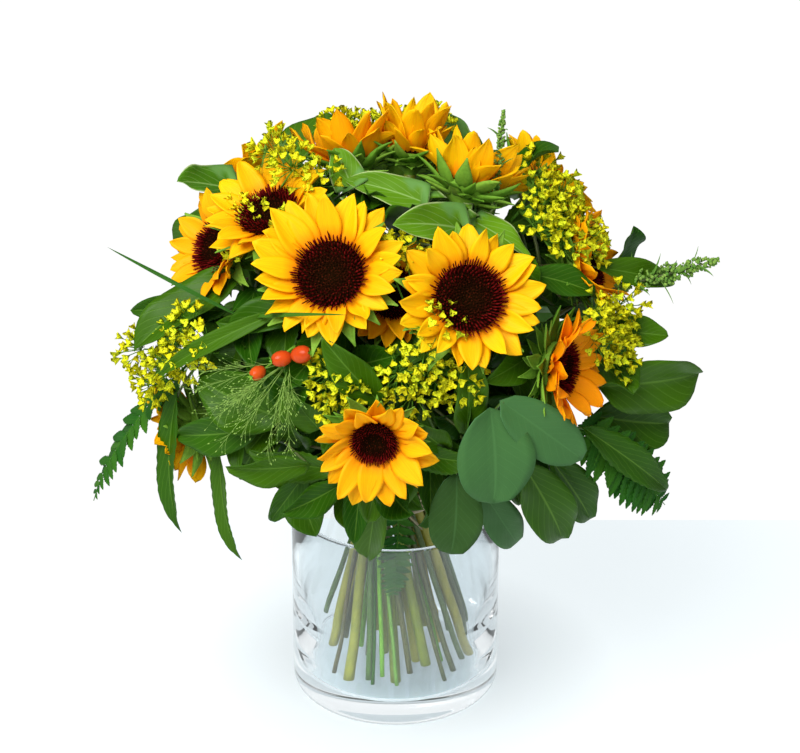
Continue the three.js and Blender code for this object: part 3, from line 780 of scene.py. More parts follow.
def petal_masters():
    def outline(share):
        swell = max(0.0, math.sin(math.pi * (0.1 + 0.9 * max(0.0, share) ** 0.92)))
        return 0.5 * swell ** 0.78

    def ridged(side, share):
        ribs = 0.05 * math.cos(3 * math.pi * side) * math.sin(math.pi * min(1, share + 0.1))
        return ribs + 0.10 * side * side

    def hollow(side, share):
        return 0.26 * side * side * math.sin(math.pi * share) + 0.03 * math.cos(3 * math.pi * side)

    def waved(side, share):
        return 0.08 * side * math.sin(5 * share) + 0.04 * math.cos(3 * math.pi * side)
    return [blade_master(f"petal_{k}", 6, 10, outline, relief, 0.03)
            for k, relief in enumerate((ridged, hollow, waved))]


def build_petals(settings, masters, material):
    for number, flower in enumerate(SUNFLOWERS, 1):
        draws = random.Random(100 + number)
        back, turn, _ = head_axes(flower)
        gathering = Gathering()
        reach, disc = flower["reach"] * MM, flower["disc"] * MM
        count = settings.petals_per_row if disc > 16 * MM else settings.petals_per_row - 2
        for row in range(2):
            start = disc * (0.86 - 0.1 * row)
            slope = math.radians(flower["cup"] * (1.15 if row == 0 else 0.8))
            length = (reach - start) / math.cos(slope) * (0.94 if row == 0 else 1.04)
            for k in range(count):
                angle = TAU * (k + 0.5 * row) / count + draws.uniform(-0.07, 0.07)
                own_slope = slope + math.radians(draws.uniform(-11, 11))
                curl = math.radians(draws.uniform(-46, 30))
                lift, upward = LONG_SIDE.get(number, (0.0, 0.0))
                own_length = length * draws.uniform(0.86, 1.04) * (1 + lift * math.cos(angle - upward))
                at = ray_rail(back, turn, angle, start, (3.2 - 1.3 * row) * MM, own_length, own_slope, curl,
                              twist=draws.uniform(-0.75, 0.75), sweep=draws.uniform(-0.2, 0.2))
                width = own_length * draws.uniform(0.38, 0.54) + 1.5 * MM
                warmth = WARM_HEADS.get(number, 0.12) + 0.3 * draws.random()
                gathering.lay(draws.choice(masters), at, width, width, warmth)
        piece = gathering.finish(f"sunflower_{number}_petals", material)
        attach(piece, "root")
        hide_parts(f"sunflower_{number}_bloom")


def inset_top(piece, thickness):
    """Insets the top face of a primitive of height 1, and leaves it selected in edit mode."""
    bpy.ops.object.mode_set(mode="EDIT")
    bpy.ops.mesh.select_all(action="DESELECT")
    bpy.ops.object.mode_set(mode="OBJECT")
    for face in piece.data.polygons:
        face.select = face.center.z > 0.45
    bpy.ops.object.mode_set(mode="EDIT")
    bpy.ops.mesh.inset(thickness=thickness)


def floret_master():
    """An open disc floret: a slim five-sided tube that flares a little at its mouth, with a narrow point
    rising from the middle of the mouth.
    """
    bpy.ops.mesh.primitive_cone_add(vertices=5, radius1=0.3, radius2=0.34, depth=1, end_fill_type="NGON")
    piece = bpy.context.object
    piece.name = "floret"
    inset_top(piece, 0.1)
    bpy.ops.transform.translate(value=(0.12, 0, 0.35))
    bpy.ops.transform.resize(value=(0.35, 0.35, 1))
    bpy.ops.object.mode_set(mode="OBJECT")
    for vert in piece.data.vertices:
        vert.co.z += 0.5
    return take_master(piece)


def bead_master():
    """A small lump of twenty faces, pulled to a point."""
    bpy.ops.mesh.primitive_ico_sphere_add(subdivisions=1, radius=1)
    piece = bpy.context.object
    piece.name = "bead"
    for vert in piece.data.vertices:
        if vert.co.z > 0.8:
            vert.co.z *= 1.35
    return take_master(piece)


def disc_height(share):
    """A disc's surface: dished in the middle, highest at two thirds, steep at the rim."""
    return HEAD_DEPTH * (0.62 + 0.42 * math.sin(math.pi * min(share, 1.0) ** 1.4 * 0.78))


def build_discs(material, floret, bead):
    for number, flower in enumerate(SUNFLOWERS, 1):
        draws = random.Random(300 + number)
        disc = flower["disc"] * MM
        back, turn, _ = head_axes(flower)
        profile = [(0, 1.5 * MM), (0.9 * disc, 1.5 * MM)]
        for share in (0.97, 0.85, 0.7, 0.5, 0.3, 0.12, 0):
            profile.append((disc * share, disc_height(share) - 0.8 * MM))
        base = take_master(spun_piece("disc_base", profile, steps=28))
        matrix = Matrix.Translation(back) @ turn.to_4x4()
        gathering = Gathering()
        gathering.put(base, matrix, 0.35)
        for k in range(DISC_FLORETS):
            share = math.sqrt((k + 0.5) / DISC_FLORETS)
            angle = k * GOLDEN_TURN
            spot = Vector((math.cos(angle), math.sin(angle), 0)) * (share * disc)
            spot.z = disc_height(share) - 1.0 * MM
            lean = max(0.0, share - 0.55) * 2.1 + draws.uniform(-0.2, 0.2)
            up = Vector((math.cos(angle) * lean, math.sin(angle) * lean, 1)).normalized()
            local = frame_matrix(spot, up, draws.uniform(0, TAU))
            if share > OPEN_FLORETS_FROM:
                size = flower["disc"] / 23
                tall = draws.uniform(3.0, 5.4) * (0.7 + 0.4 * share) * size
                slim = draws.uniform(1.3, 1.9) * size
                gathering.put(floret, matrix @ local @ Matrix.Diagonal((slim * MM, slim * MM, tall * MM, 1)),
                              0.62 + 0.38 * draws.random())
            else:
                size = disc * 0.045 * (0.75 + 0.5 * share)
                gathering.put(bead, matrix @ local @ Matrix.Diagonal((size, size, size * 1.5, 1)),
                              0.5 * share / OPEN_FLORETS_FROM + draws.uniform(0, 0.12))
        piece = gathering.finish(f"sunflower_{number}_disc", material)
        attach(piece, "root")


def bract_master():
    def outline(share):
        swell = max(0.0, math.sin(math.pi * (0.2 + 0.8 * share))) ** 0.9
        return 0.5 * min(1.0, (1.25 - share) * 1.1) * swell

    def relief(side, share):
        return 0.10 * side * side + 0.03 * math.cos(2 * math.pi * side)
    return blade_master("bract", 4, 6, outline, relief, 0.05)


def build_calyces(material, bract):
    """The green cup behind each head with its three rows of pointed bracts, and the neck of the stem."""
    for number, flower in enumerate(SUNFLOWERS, 1):
        draws = random.Random(500 + number)
        disc = flower["disc"] * MM
        back, turn, _ = head_axes(flower)
        profile = [(0, -14.0), (4.2, -13.5), (5.2, -11.5), (0.72 * flower["disc"], -7.0),
                   (flower["disc"] + 0.6, -1.0), (flower["disc"] + 0.2, 2.0), (0, 2.4)]
        cup = spun_piece("cup", [(radius * MM, height * MM) for radius, height in profile], steps=24)
        gathering = Gathering()
        gathering.put(take_master(cup), Matrix.Translation(back) @ turn.to_4x4(), 0.4)
        for row in range(3):
            count = 10 + row
            for k in range(count):
                angle = TAU * (k + 0.5 * row) / count + draws.uniform(-0.12, 0.12)
                slope = math.radians(flower["cup"] * 0.55 - 14 * row + draws.uniform(-14, 14))
                length = (27 + 7 * draws.random() - 5 * row) * MM * (0.5 + 0.5 * flower["disc"] / 20)
                start, rise = disc * (0.86 - 0.12 * row), (-2.0 - 2.6 * row) * MM
                at = ray_rail(back, turn, angle, start, rise, length, slope,
                              math.radians(draws.uniform(-30, 50)), twist=draws.uniform(-0.4, 0.4))
                width = draws.uniform(0.36, 0.46) * length
                gathering.lay(bract, at, width, width, draws.random())
        piece = gathering.finish(f"sunflower_{number}_calyx", material)
        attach(piece, "root")


# ---- Leaves -----------------------------------------------------------------------------------

def leaf_masters():
    def swell(share, start, power):
        return max(0.0, math.sin(math.pi * min(1.0, max(0.0, share)) ** start)) ** power

    outlines = {
        "broad": lambda t: 0.5 * swell(t, 0.78, 0.85),
        "heart": lambda t: 0.5 * swell(0.04 + 0.96 * t, 0.5, 0.72),
        "round": lambda t: 0.5 * swell(t, 0.95, 0.55),
        "slim": lambda t: 0.5 * swell(t, 0.82, 0.8),
        "serrated": lambda t: 0.5 * swell(t, 0.72, 0.85) * (1 - 0.16 * ((14 * t) % 1.0)),
    }

    def relief_of(fold, quilt, wave):
        def relief(side, share):
            valley = fold * abs(side) - 0.02 * math.exp(-((side / 0.12) ** 2))
            quilting = quilt * math.sin(TAU * (7 * share - 1.5 * abs(side))) * abs(side)
            rippling = wave * side * abs(side) * math.sin(TAU * 1.6 * share + (1 if side > 0 else 0))
            return valley + quilting + rippling
        return relief
    reliefs = {
        "broad": relief_of(0.2, 0.012, 0.1),
        "heart": relief_of(0.12, 0.016, 0.09),
        "round": relief_of(0.07, 0.004, 0.04),
        "slim": relief_of(0.22, 0.008, 0.08),
        "serrated": relief_of(0.2, 0.012, 0.08),
    }
    along = {"broad": 14, "heart": 14, "round": 14, "slim": 14, "serrated": 28}
    return {kind: blade_master("leaf_" + kind, 8, along[kind], outlines[kind], reliefs[kind],
                               lobes=0.2 if kind == "heart" else 0.0)
            for kind in outlines}


LEAF_GROUPS = {"broad": "broad", "slim": "broad", "serrated": "broad", "heart": "heart", "round": "round"}


def leaf_points(base, tip, bow):
    """Control points of a leaf's spine from its base to its tip, bowed away from the dome's centre."""
    middle = (base + tip) / 2
    outward = outwards(middle)
    lower, upper = base.lerp(middle, 0.7) + outward * bow, tip.lerp(middle, 0.6) + outward * bow
    return [base, lower, upper, tip], outward


def lay_leaf(gatherings, masters, stalks, tube, leaf, curve, draws):
    """One leaf on its own thin stalk from the nearest point of the stem's upper part."""
    kind, base, tip, width = leaf
    base, tip = dome(base), dome(tip)
    length = (tip - base).length
    points, outward = leaf_points(base, tip, 0.1 * length * draws.uniform(0.6, 1.3))
    jitter = Vector([draws.uniform(-1, 1) for _ in range(3)])
    to_light = Vector((0, -0.9 if base.y < 60 * MM else 0.9, 0.45))
    side = (outward + 0.3 * jitter + 0.75 * to_light).normalized()
    at = rail(points, side, twist=draws.uniform(-0.3, 0.3))
    group = gatherings[LEAF_GROUPS[kind]]
    group.lay(masters[kind], at, width * MM, 0.85 * width * MM, draws.random())
    foot = nearest_foot(curve, base, 0.55)
    droop = foot.lerp(base, 0.5) + outward * (0.12 * (base - foot).length)
    thin = lambda t: (1.3 - 0.5 * t) * MM
    past = base.lerp(tip, 0.04)
    stalks.lay(tube, rail([foot, droop, base, past], side), thin, thin, draws.random())


def clear_of_heads(points):
    """Whether every point stays out of the space that each head and its petals fill."""
    margin = 4
    for flower in SUNFLOWERS:
        back, _, normal = head_axes(flower)
        for point in points:
            offset = point - back
            height = offset.dot(normal)
            across = (offset - normal * height).length
            if across < (flower["reach"] + margin) * MM and -22 * MM < height < 60 * MM:
                return False
    return True


def filler_leaves(end, count, kinds, draws, depth, spread):
    """Further leaves round a sprig's end that stay clear of the sunflower heads.

    Depth is how far inside the dome's surface they sit, in millimetres.
    """
    leaves = []
    for _ in range(count * 14):
        if len(leaves) == count:
            break
        azimuth = end[0] + draws.uniform(-spread, spread) / max(0.35, math.cos(math.radians(end[1])))
        elevation = end[1] + draws.uniform(-0.8, 0.9) * spread
        base = (azimuth, elevation, draws.uniform(100, 130) - depth)
        tip = (azimuth + draws.uniform(-26, 26), elevation + draws.uniform(-30, 16),
               draws.uniform(138, 158) - depth)
        points, _ = leaf_points(dome(base), dome(tip), 4 * MM)
        long_enough = 34 * MM < (dome(tip) - dome(base)).length < 78 * MM
        above_rim = min(point.z for point in points) > VASE_HEIGHT + 22 * MM
        if long_enough and above_rim and clear_of_heads([dome(tip), bezier(points, 0.6)]):
            leaves.append((draws.choice(kinds), base, tip, draws.uniform(20, 32)))
    return leaves


def build_leafy_sprigs(materials, masters, tube, stem_tube):
    for number, (name, (end, leaves)) in enumerate(LEAFY_SPRIGS.items()):
        draws = random.Random(700 + number)
        round_leaved = name.startswith("eucalyptus")
        kinds = ["broad", "broad", "slim", "serrated"]
        if name in ("eucalyptus_front", "eucalyptus_back"):
            kinds = ["round"]
        gatherings = {group: Gathering() for group in ("broad", "heart", "round")}
        stalks = Gathering()
        tip = dome(end)
        curve = lay_stem(stalks, stem_tube, name, tip, outwards(tip), 2.1 * MM,
                         draws.random(), seed=number)
        extra = filler_leaves(end, 3 if round_leaved else 9, kinds, draws, 0, 34)
        extra += filler_leaves(end, 14, ["broad", "broad", "slim"], draws, 24, 42)
        for leaf in [*leaves, *extra]:
            lay_leaf(gatherings, masters, stalks, tube, leaf, curve, draws)
        for group, gathering in gatherings.items():
            if not gathering.bm.verts:
                gathering.bm.free()
                continue
            piece = gathering.finish(f"{name}_{group}_leaves", materials[group])
            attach(piece, "root")
        stem = stalks.finish(f"{name}_stem", materials["woody"])
        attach(stem, "root")
        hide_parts(name)


# ---- Filler flowers, ferns, grasses and the tie -----------------------------------------------

def statice_master():
    """A small funnel with five points round its mouth."""
    bpy.ops.mesh.primitive_cone_add(vertices=10, radius1=0.2, radius2=1.0, depth=1, end_fill_type="NGON")
    piece = bpy.context.object
    piece.name = "statice_floret"
    inset_top(piece, 0.35)
    bpy.ops.transform.translate(value=(0, 0, -0.45))
    bpy.ops.object.mode_set(mode="OBJECT")
    for vert in piece.data.vertices:
        if vert.co.z > 0.45:
            fifth = (math.atan2(vert.co.y, vert.co.x) / TAU * 5 + 20.25) % 1.0
            point = fifth < 0.5
            vert.co.x *= 1.25 if point else 0.7
            vert.co.y *= 1.25 if point else 0.7
            vert.co.z += 0.18 if point else -0.05
        vert.co.z += 0.5
    return take_master(piece)


def lay_twig(gathering, tube, start, end, radius, tone, sag=0.0):
    """A thin tapered side stem between two points."""
    if (end - start).length < 0.5 * MM:
        return
    middle = start.lerp(end, 0.5)
    middle = middle + outwards(middle) * sag
    taper = lambda t: radius * (1.15 - 0.45 * t)
    gathering.lay(tube, rail([start, middle, end], Vector((0.3, 0.2, 0.93))), taper, taper, tone)


def build_statice(petal, green, funnel, tube, thin_tube, stem_tube):
    for number, (name, (end, sprays)) in enumerate(STATICE.items()):
        draws = random.Random(900 + number)
        flowers, stems = Gathering(), Gathering()
        tip = dome(end)
        curve = lay_stem(stems, stem_tube, name, tip, outwards(tip), 2.0 * MM,
                         draws.random(), seed=40 + number)
        for place in [*sprays, *MORE_STATICE.get(name, [])]:
            centre = dome(place)
            out = outwards(centre)
            fork = centre - out * 13 * MM
            lay_twig(stems, tube, nearest_foot(curve, centre), fork, 0.8 * MM, draws.random(), 2 * MM)
            for k in range(FLORETS_PER_STATICE_SPRAY):
                polar = math.acos(1 - 0.78 * (k + 0.5) / FLORETS_PER_STATICE_SPRAY)
                turn = k * GOLDEN_TURN + draws.uniform(-0.3, 0.3)
                aim = frame_matrix(Vector(), out).to_3x3() @ Vector((
                    math.sin(polar) * math.cos(turn), math.sin(polar) * math.sin(turn), math.cos(polar)))
                reach = draws.uniform(8.5, 17) * MM
                spot = fork + aim * reach
                lay_twig(stems, thin_tube, fork + aim * 2 * MM, spot, 0.35 * MM, draws.random())
                face = (aim + 0.35 * Vector([draws.uniform(-1, 1) for _ in range(3)])).normalized()
                local = frame_matrix(spot, face, draws.uniform(0, TAU))
                size = draws.uniform(0.8, 1.2) * MM
                cup_size = Matrix.Diagonal((1.1 * size, 1.1 * size, 3.8 * size, 1))
                stems.put(funnel, local @ cup_size, draws.random())
                lift = Matrix.Translation((0, 0, 1.6 * size))
                flower_size = Matrix.Diagonal((2.7 * size, 2.7 * size, 4.4 * size, 1))
                flowers.put(funnel, local @ lift @ flower_size, draws.random())
        flowers = flowers.finish(f"{name}_flowers", petal)
        stems = stems.finish(f"{name}_stems", green)
        for piece in (flowers, stems):
            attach(piece, "root")
        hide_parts(name)


def pinna_master():
    def outline(share):
        teeth = 1 - 0.34 * ((7 * share) % 1.0)
        return 0.5 * min(1.0, 1.9 * (1.02 - share)) ** 0.8 * teeth

    def relief(side, share):
        return 0.10 * abs(side) - 0.12 * share * share
    return blade_master("pinna", 4, 21, outline, relief, 0.03)


def build_ferns(material, woody, pinna, tube, stem_tube):
    for number, (name, fern) in enumerate(FERNS.items()):
        draws = random.Random(1100 + number)
        fronds, stem = Gathering(), Gathering()
        end, tip = dome(fern["end"]), dome(fern["tip"])
        lay_stem(stem, stem_tube, name, end, outwards(end), 1.5 * MM, draws.random(),
                 seed=60 + number)
        middle = (end + tip) / 2
        outward = outwards(middle)
        spine = [end, middle + outward * 2 * fern["arch"] * MM, tip]
        slim = lambda t: (1.1 - 0.8 * t) * MM
        fronds.lay(tube, rail(spine, outward), slim, slim, 0.9)
        half = fern["width"] / 2 * MM
        for k in range(FERN_LEAFLET_PAIRS):
            share = 0.06 + 0.92 * k / FERN_LEAFLET_PAIRS
            at = rail(spine, outward)
            point, sideways, normal = at(share)
            along = normal.cross(sideways)
            reach = half * 1.1 * math.sin(math.pi * (0.22 + 0.74 * share)) ** 0.9 + 1 * MM
            for side in (-1, 1):
                jitter = draws.uniform(0.85, 1.1)
                sweep = sideways * side * reach * jitter + along * (0.42 * reach)
                sweep = sweep + normal * draws.uniform(-0.2, 0.1) * reach
                spine_of_pinna = [point, point + sweep * 0.55 + normal * 0.06 * reach, point + sweep]
                width = max(2.6 * MM, 0.5 * reach)
                fronds.lay(pinna, rail(spine_of_pinna, normal), width, width, draws.random())
        fronds = fronds.finish(f"{name}_frond", material)
        stem = stem.finish(f"{name}_stem", woody)
        for piece in (fronds, stem):
            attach(piece, "root")
        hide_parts(name)


def build_amaranth(material, woody, bead, bract, stem_tube):
    """Knobbly green spikes: small round flowers packed round an axis, with narrow leaves between."""
    for number, (name, spike) in enumerate(AMARANTH.items()):
        draws = random.Random(1300 + number)
        flowers, stem = Gathering(), Gathering()
        end, tip = dome(spike["end"]), dome(spike["tip"])
        lay_stem(stem, stem_tube, name, end, outwards(end), 2 * MM, draws.random(), seed=80 + number)
        axis = tip - end
        look = frame_matrix(Vector(), axis.normalized()).to_3x3()
        radius = spike["radius"] * MM
        lay_twig(stem, stem_tube, end, tip, 0.9 * MM, 0.5)
        for _ in range(AMARANTH_FLOWERS):
            share = draws.random() ** 0.9
            lobe = 0.72 + 0.28 * math.sin(9 * share * math.pi) * math.sin(3 * share + 1)
            body = radius * lobe * min(1.0, 0.35 + 2.2 * share) * min(1.0, 2.6 * (1.02 - share)) ** 0.5
            turn = draws.uniform(0, TAU)
            off = look @ Vector((math.cos(turn), math.sin(turn), 0))
            spot = end + axis * share + off * body * draws.uniform(0.35, 1.0)
            size = draws.uniform(0.55, 1.05) * (0.7 + radius / (12 * MM)) * MM
            aim = (off + axis.normalized() * 0.7).normalized()
            flowers.put(bead, frame_matrix(spot, aim, turn, size), draws.random())
        leaf_turn = 2.4
        for k in range(AMARANTH_LEAVES):
            share = 0.02 + 0.85 * k / AMARANTH_LEAVES
            turn = k * leaf_turn
            off = look @ Vector((math.cos(turn), math.sin(turn), 0))
            base = end + axis * share
            reach = draws.uniform(9, 15) * MM * (1.15 - 0.6 * share) * (0.6 + radius / (12 * MM))
            leaf_way = (off + axis.normalized() * draws.uniform(0.2, 1.0)).normalized()
            leaf_tip = base + leaf_way * (reach + radius * 0.5)
            bend = base.lerp(leaf_tip, 0.5) + axis.normalized() * 1.5 * MM
            width = 3.4 * MM
            flowers.lay(bract, rail([base, bend, leaf_tip], axis.normalized() + off * 0.4), width, width,
                        0.4 * draws.random())
        flowers = flowers.finish(f"{name}_spike", material)
        stem = stem.finish(f"{name}_stem", woody)
        for piece in (flowers, stem):
            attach(piece, "root")
        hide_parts(name)


def build_panicum(material, thin_tube, bead, stem_tube):
    """A spray of hair-fine branches with a seed at the end of each."""
    draws = random.Random(1500)
    spray = Gathering()
    end = dome(PANICUM["end"])
    lay_stem(spray, stem_tube, "panicum", end, outwards(end), 1.4 * MM, 0.4, seed=90)
    for tip in PANICUM["tips"] + PANICUM["more_tips"]:
        point = dome(tip)
        bend = end.lerp(point, 0.5) + outwards(point) * 5 * MM
        spine = [end, bend, point]
        branch = lambda t: (0.34 - 0.2 * t) * MM
        spray.lay(thin_tube, rail(spine, Vector((0.1, 0.2, 1))), branch, branch, 0.8)
        for _ in range(SEEDS_PER_GRASS_BRANCH):
            share = draws.uniform(0.25, 0.97)
            root = bezier(spine, share)
            along = (point - end).normalized()
            off = Vector([draws.gauss(0, 1) for _ in range(3)])
            off = (off - off.project(along)).normalized()
            reach = draws.uniform(6, 20) * MM * (1.25 - 0.7 * share)
            seed_spot = root + along * reach + off * 0.62 * reach
            hair = 0.11 * MM
            elbow = root + along * 0.6 * reach + off * 0.2 * reach
            spray.lay(thin_tube, rail([root, elbow, seed_spot], off + along), hair, hair, 0.9)
            aim = (seed_spot - root).normalized()
            seed_size = Matrix.Diagonal((0.32 * MM, 0.32 * MM, 0.8 * MM, 1))
            spray.put(bead, frame_matrix(seed_spot, aim) @ seed_size, 1.0)
    piece = spray.finish("panicum_spray", material)
    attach(piece, "root")
    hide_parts("panicum")


def hip_master():
    """A smooth fruit with the dry crown of its flower at the far end."""
    fruit = [(0, -1.02), (0.2, -1.0), (0.55, -0.86), (0.86, -0.5), (1.0, -0.05), (0.95, 0.38),
             (0.74, 0.76), (0.44, 0.98), (0.3, 1.03), (0.26, 1.0), (0, 0.94)]
    return take_master(spun_piece("hip", fruit, steps=24))


def build_rosehips(skin, green, hip, bract, tube, stem_tube):
    draws = random.Random(1700)
    fruits, stem = Gathering(), Gathering()
    end = dome(ROSEHIPS["end"])
    curve = lay_stem(stem, stem_tube, "rosehips", end, outwards(end), 1.6 * MM, 0.9, seed=95)
    for k, place in enumerate(ROSEHIPS["hips"]):
        centre = dome(place)
        out = outwards(centre)
        aim = (out + ROSEHIPS["lean"][k]).normalized()
        radius = (ROSEHIPS["radius"] - 0.7 * k) * MM
        size = Matrix.Diagonal((0.86 * radius, 0.86 * radius, 1.12 * radius, 1))
        fruits.put(hip, frame_matrix(centre, aim) @ size, draws.random())
        lay_twig(stem, tube, nearest_foot(curve, centre), centre - aim * 1.08 * radius, 0.8 * MM, 0.7)
        crown = centre + aim * 1.1 * radius
        for turn in range(5):
            side = frame_matrix(Vector(), aim, turn * TAU / 5).to_3x3() @ Vector((1, 0, 0))
            sepal = [crown, crown + side * 1.6 * MM + aim * 1.4 * MM,
                     crown + side * 3.6 * MM + aim * 1.2 * MM]
            stem.lay(bract, rail(sepal, aim), 1.3 * MM, 1.3 * MM, 1.0)
    fruits = fruits.finish("rosehip_fruits", skin)
    stem = stem.finish("rosehip_stem", green)
    for piece in (fruits, stem):
        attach(piece, "root")
    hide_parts("rosehips")


def build_bear_grass(material, slim_leaf, stem_tube):
    draws = random.Random(1900)
    blades = Gathering()
    end = dome(BEAR_GRASS["end"])
    lay_stem(blades, stem_tube, "bear_grass", end, outwards(end), 1.4 * MM, 0.3, seed=99)
    for start, tip, arch in BEAR_GRASS["blades"]:
        start = dome(start) if start else end
        tip = dome(tip)
        middle = (start + tip) / 2
        outward = outwards(middle)
        width = BEAR_GRASS["width"] * MM
        at = rail([start, middle + outward * arch * MM, tip], Vector((0.1, -0.8, 0.6)),
                  twist=draws.uniform(-0.4, 0.4))
        blades.lay(slim_leaf, at, width, 0.7 * width, draws.random())
        if start is not end:
            lay_twig(blades, stem_tube, end, start, 0.5 * MM, 0.5)
    piece = blades.finish("bear_grass_blades", material)
    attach(piece, "root")
    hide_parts("bear_grass")


def build_tie(material, strand):
    """Strands of raffia wound round the waist, with a knot and four cut ends in front."""
    draws = random.Random(2100)
    wraps = Gathering()
    for _ in range(RAFFIA_STRANDS):
        start = draws.uniform(0, TAU)
        level = TIE_HEIGHT + draws.uniform(-6.5, 6.5) * MM
        radius = WAIST_RADIUS + draws.uniform(1.6, 4.0) * MM
        tilt, lean = draws.uniform(-2.4, 2.4) * MM, draws.uniform(0, TAU)
        wave = draws.uniform(0.2, 0.6) * MM

        def at(t):
            angle = start + TAU * 1.02 * t
            own = radius + wave * math.sin(5 * angle) - 0.4 * MM * t
            out = Vector((math.cos(angle), math.sin(angle), 0))
            point = out * own + Vector((0, 0, level + tilt * math.sin(angle + lean)))
            return point, Vector((0, 0, 1)), out
        wraps.lay(strand, at, draws.uniform(1.3, 2.1) * MM, draws.uniform(0.35, 0.6) * MM, draws.random())
    front = Vector((0.004, -WAIST_RADIUS - 4.5 * MM, TIE_HEIGHT))
    knot = [(-6, 0, 3), (-2, -4, 5), (6, -3, 1), (4, -2, -5), (-5, -4, -3), (-3, 0, 3)]
    wide, deep = 2.0 * MM, 0.9 * MM
    knot_rail = rail([front + Vector(point) * MM for point in knot], Vector((0, -1, 0.1)))
    wraps.lay(strand, knot_rail, wide, deep, 0.6)
    for side, drop, out in ((-1, -13, -9), (1, -10, -12), (-1, 8, -13), (1, 12, -7)):
        bend, tip = Vector((side * 6, -7, drop * 0.1)), Vector((side * 15, out, drop))
        end = rail([front, front + bend * MM, front + tip * MM], Vector((0, -1, 0.3)), twist=1.2 * side)
        wraps.lay(strand, end, 1.7 * MM, 0.4 * MM, draws.random())
    piece = wraps.finish("raffia_wraps", material)
    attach(piece, "root")
    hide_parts("raffia_tie")


# ---- Operators --------------------------------------------------------------------------------

SHARED = {}


def shared(name, make):
    """Makes a master or a material once and keeps it for the operators that follow."""
    if name not in SHARED:
        SHARED[name] = make()
    return SHARED[name]


def thick_tube():
    return shared("stem_tube", lambda: tube_master("stem_tube", 10, 44))


def stalk_tube():
    return shared("stalk_tube", lambda: tube_master("stalk_tube", 6, 7))


def woody_finish():
    return shared("woody", lambda: stem_finish("woody_stem", (0.05, 0.13, 0.01), (0.09, 0.07, 0.02)))


def settings():
    return bpy.context.scene.bouquet_settings


def add_table_top(studio):
    """A plane that glows with painted light of its own, which lifts the shadows cast on it; the glow fades
    towards the vase's foot as a painted contact shadow.
    """
    width, front_edge, back_edge = 6.0, -3.4, 0.222
    bpy.ops.mesh.primitive_plane_add(size=1)
    floor = bpy.context.object
    floor.name = "table_top"
    for vert in floor.data.vertices:
        vert.co.x *= width
        vert.co.y = back_edge if vert.co.y > 0 else front_edge
    colour = studio.floor_colour
    finish = Finish("table_top", roughness=0.6)
    # Painted light: the table top's own glow, which lifts the shadows cast on it.
    finish.shader.inputs["Emission Strength"].default_value = studio.painted_floor_glow
    away = finish.node("ShaderNodeVectorMath", operation="LENGTH")
    finish.link(finish.object_place(), away.inputs[0])
    # Painted contact shadow: the glow dims towards the vase's axis and is darkest under its foot.
    lift = finish.ramp(away.outputs["Value"], (0.5 * VASE_RADIUS, shaded(colour, 0.36)),
                       (0.98 * VASE_RADIUS, shaded(colour, 0.7)), (2.2 * VASE_RADIUS, shaded(colour, 1.0)))
    finish.link(lift, finish.shader.inputs["Emission Color"])
    grain = finish.noise(finish.object_place(), 7.0, 3.0)
    tint = shaded(colour, 0.3)
    finish.link(finish.mix(grain, tint, shaded(tint, 1.03)), finish.shader.inputs["Base Color"])
    floor.data.materials.append(finish.material)


def add_surroundings(scene, studio):
    """White surroundings that look brighter, also through the glass, than the light they give."""
    world = bpy.data.worlds.new("white_surroundings")
    world.use_nodes = True
    nodes, links = world.node_tree.nodes, world.node_tree.links
    background = nodes["Background"]
    background.inputs[0].default_value = (1.0, 1.0, 1.0, 1)
    ray = nodes.new("ShaderNodeLightPath")
    spread = nodes.new("ShaderNodeMapRange")
    spread.inputs["To Min"].default_value = studio.fill_strength
    spread.inputs["To Max"].default_value = studio.backdrop_strength
    seen_ray = nodes.new("ShaderNodeMath")
    seen_ray.operation = "MAXIMUM"
    links.new(ray.outputs["Is Camera Ray"], seen_ray.inputs[0])
    links.new(ray.outputs["Is Transmission Ray"], seen_ray.inputs[1])
    links.new(seen_ray.outputs[0], spread.inputs["Value"])
    links.new(spread.outputs[0], background.inputs[1])
    scene.world = world
    scene.cycles.glossy_bounces = 12  # light goes round inside the thick glass wall


def add_window_light(scene, studio):
    lamp = bpy.data.lights.new("window_light", "AREA")
    lamp.shape = "RECTANGLE"
    lamp.size, lamp.size_y = 1.9, 1.6
    lamp.energy = studio.key_power
    lamp.color = (1.0, 0.985, 0.955)
    holder = bpy.data.objects.new("window_light", lamp)
    holder.location = (-0.9, -1.45, 2.3)
    aim = Vector((0, 0, 0.28)) - holder.location
    holder.rotation_euler = aim.to_track_quat("-Z", "Y").to_euler()
    scene.collection.objects.link(holder)


def add_camera(scene):
    """Looks down on the bouquet from the front, with a long lens."""
    downwards = 28.3456
    camera = bpy.data.cameras.new("camera")
    camera.lens = 163.88
    camera.sensor_width = 36
    eye = bpy.data.objects.new("camera", camera)
    eye.location = (0.0033, -2.2644, 1.4705)
    eye.rotation_euler = (math.radians(90 - downwards), 0, 0)
    scene.collection.objects.link(eye)
    scene.camera = eye
    scene.view_settings.view_transform = "Standard"


class BouquetOperator:
    bl_options = {"REGISTER", "UNDO"}

    def execute(self, context):
        self.build(context)
        return {"FINISHED"}


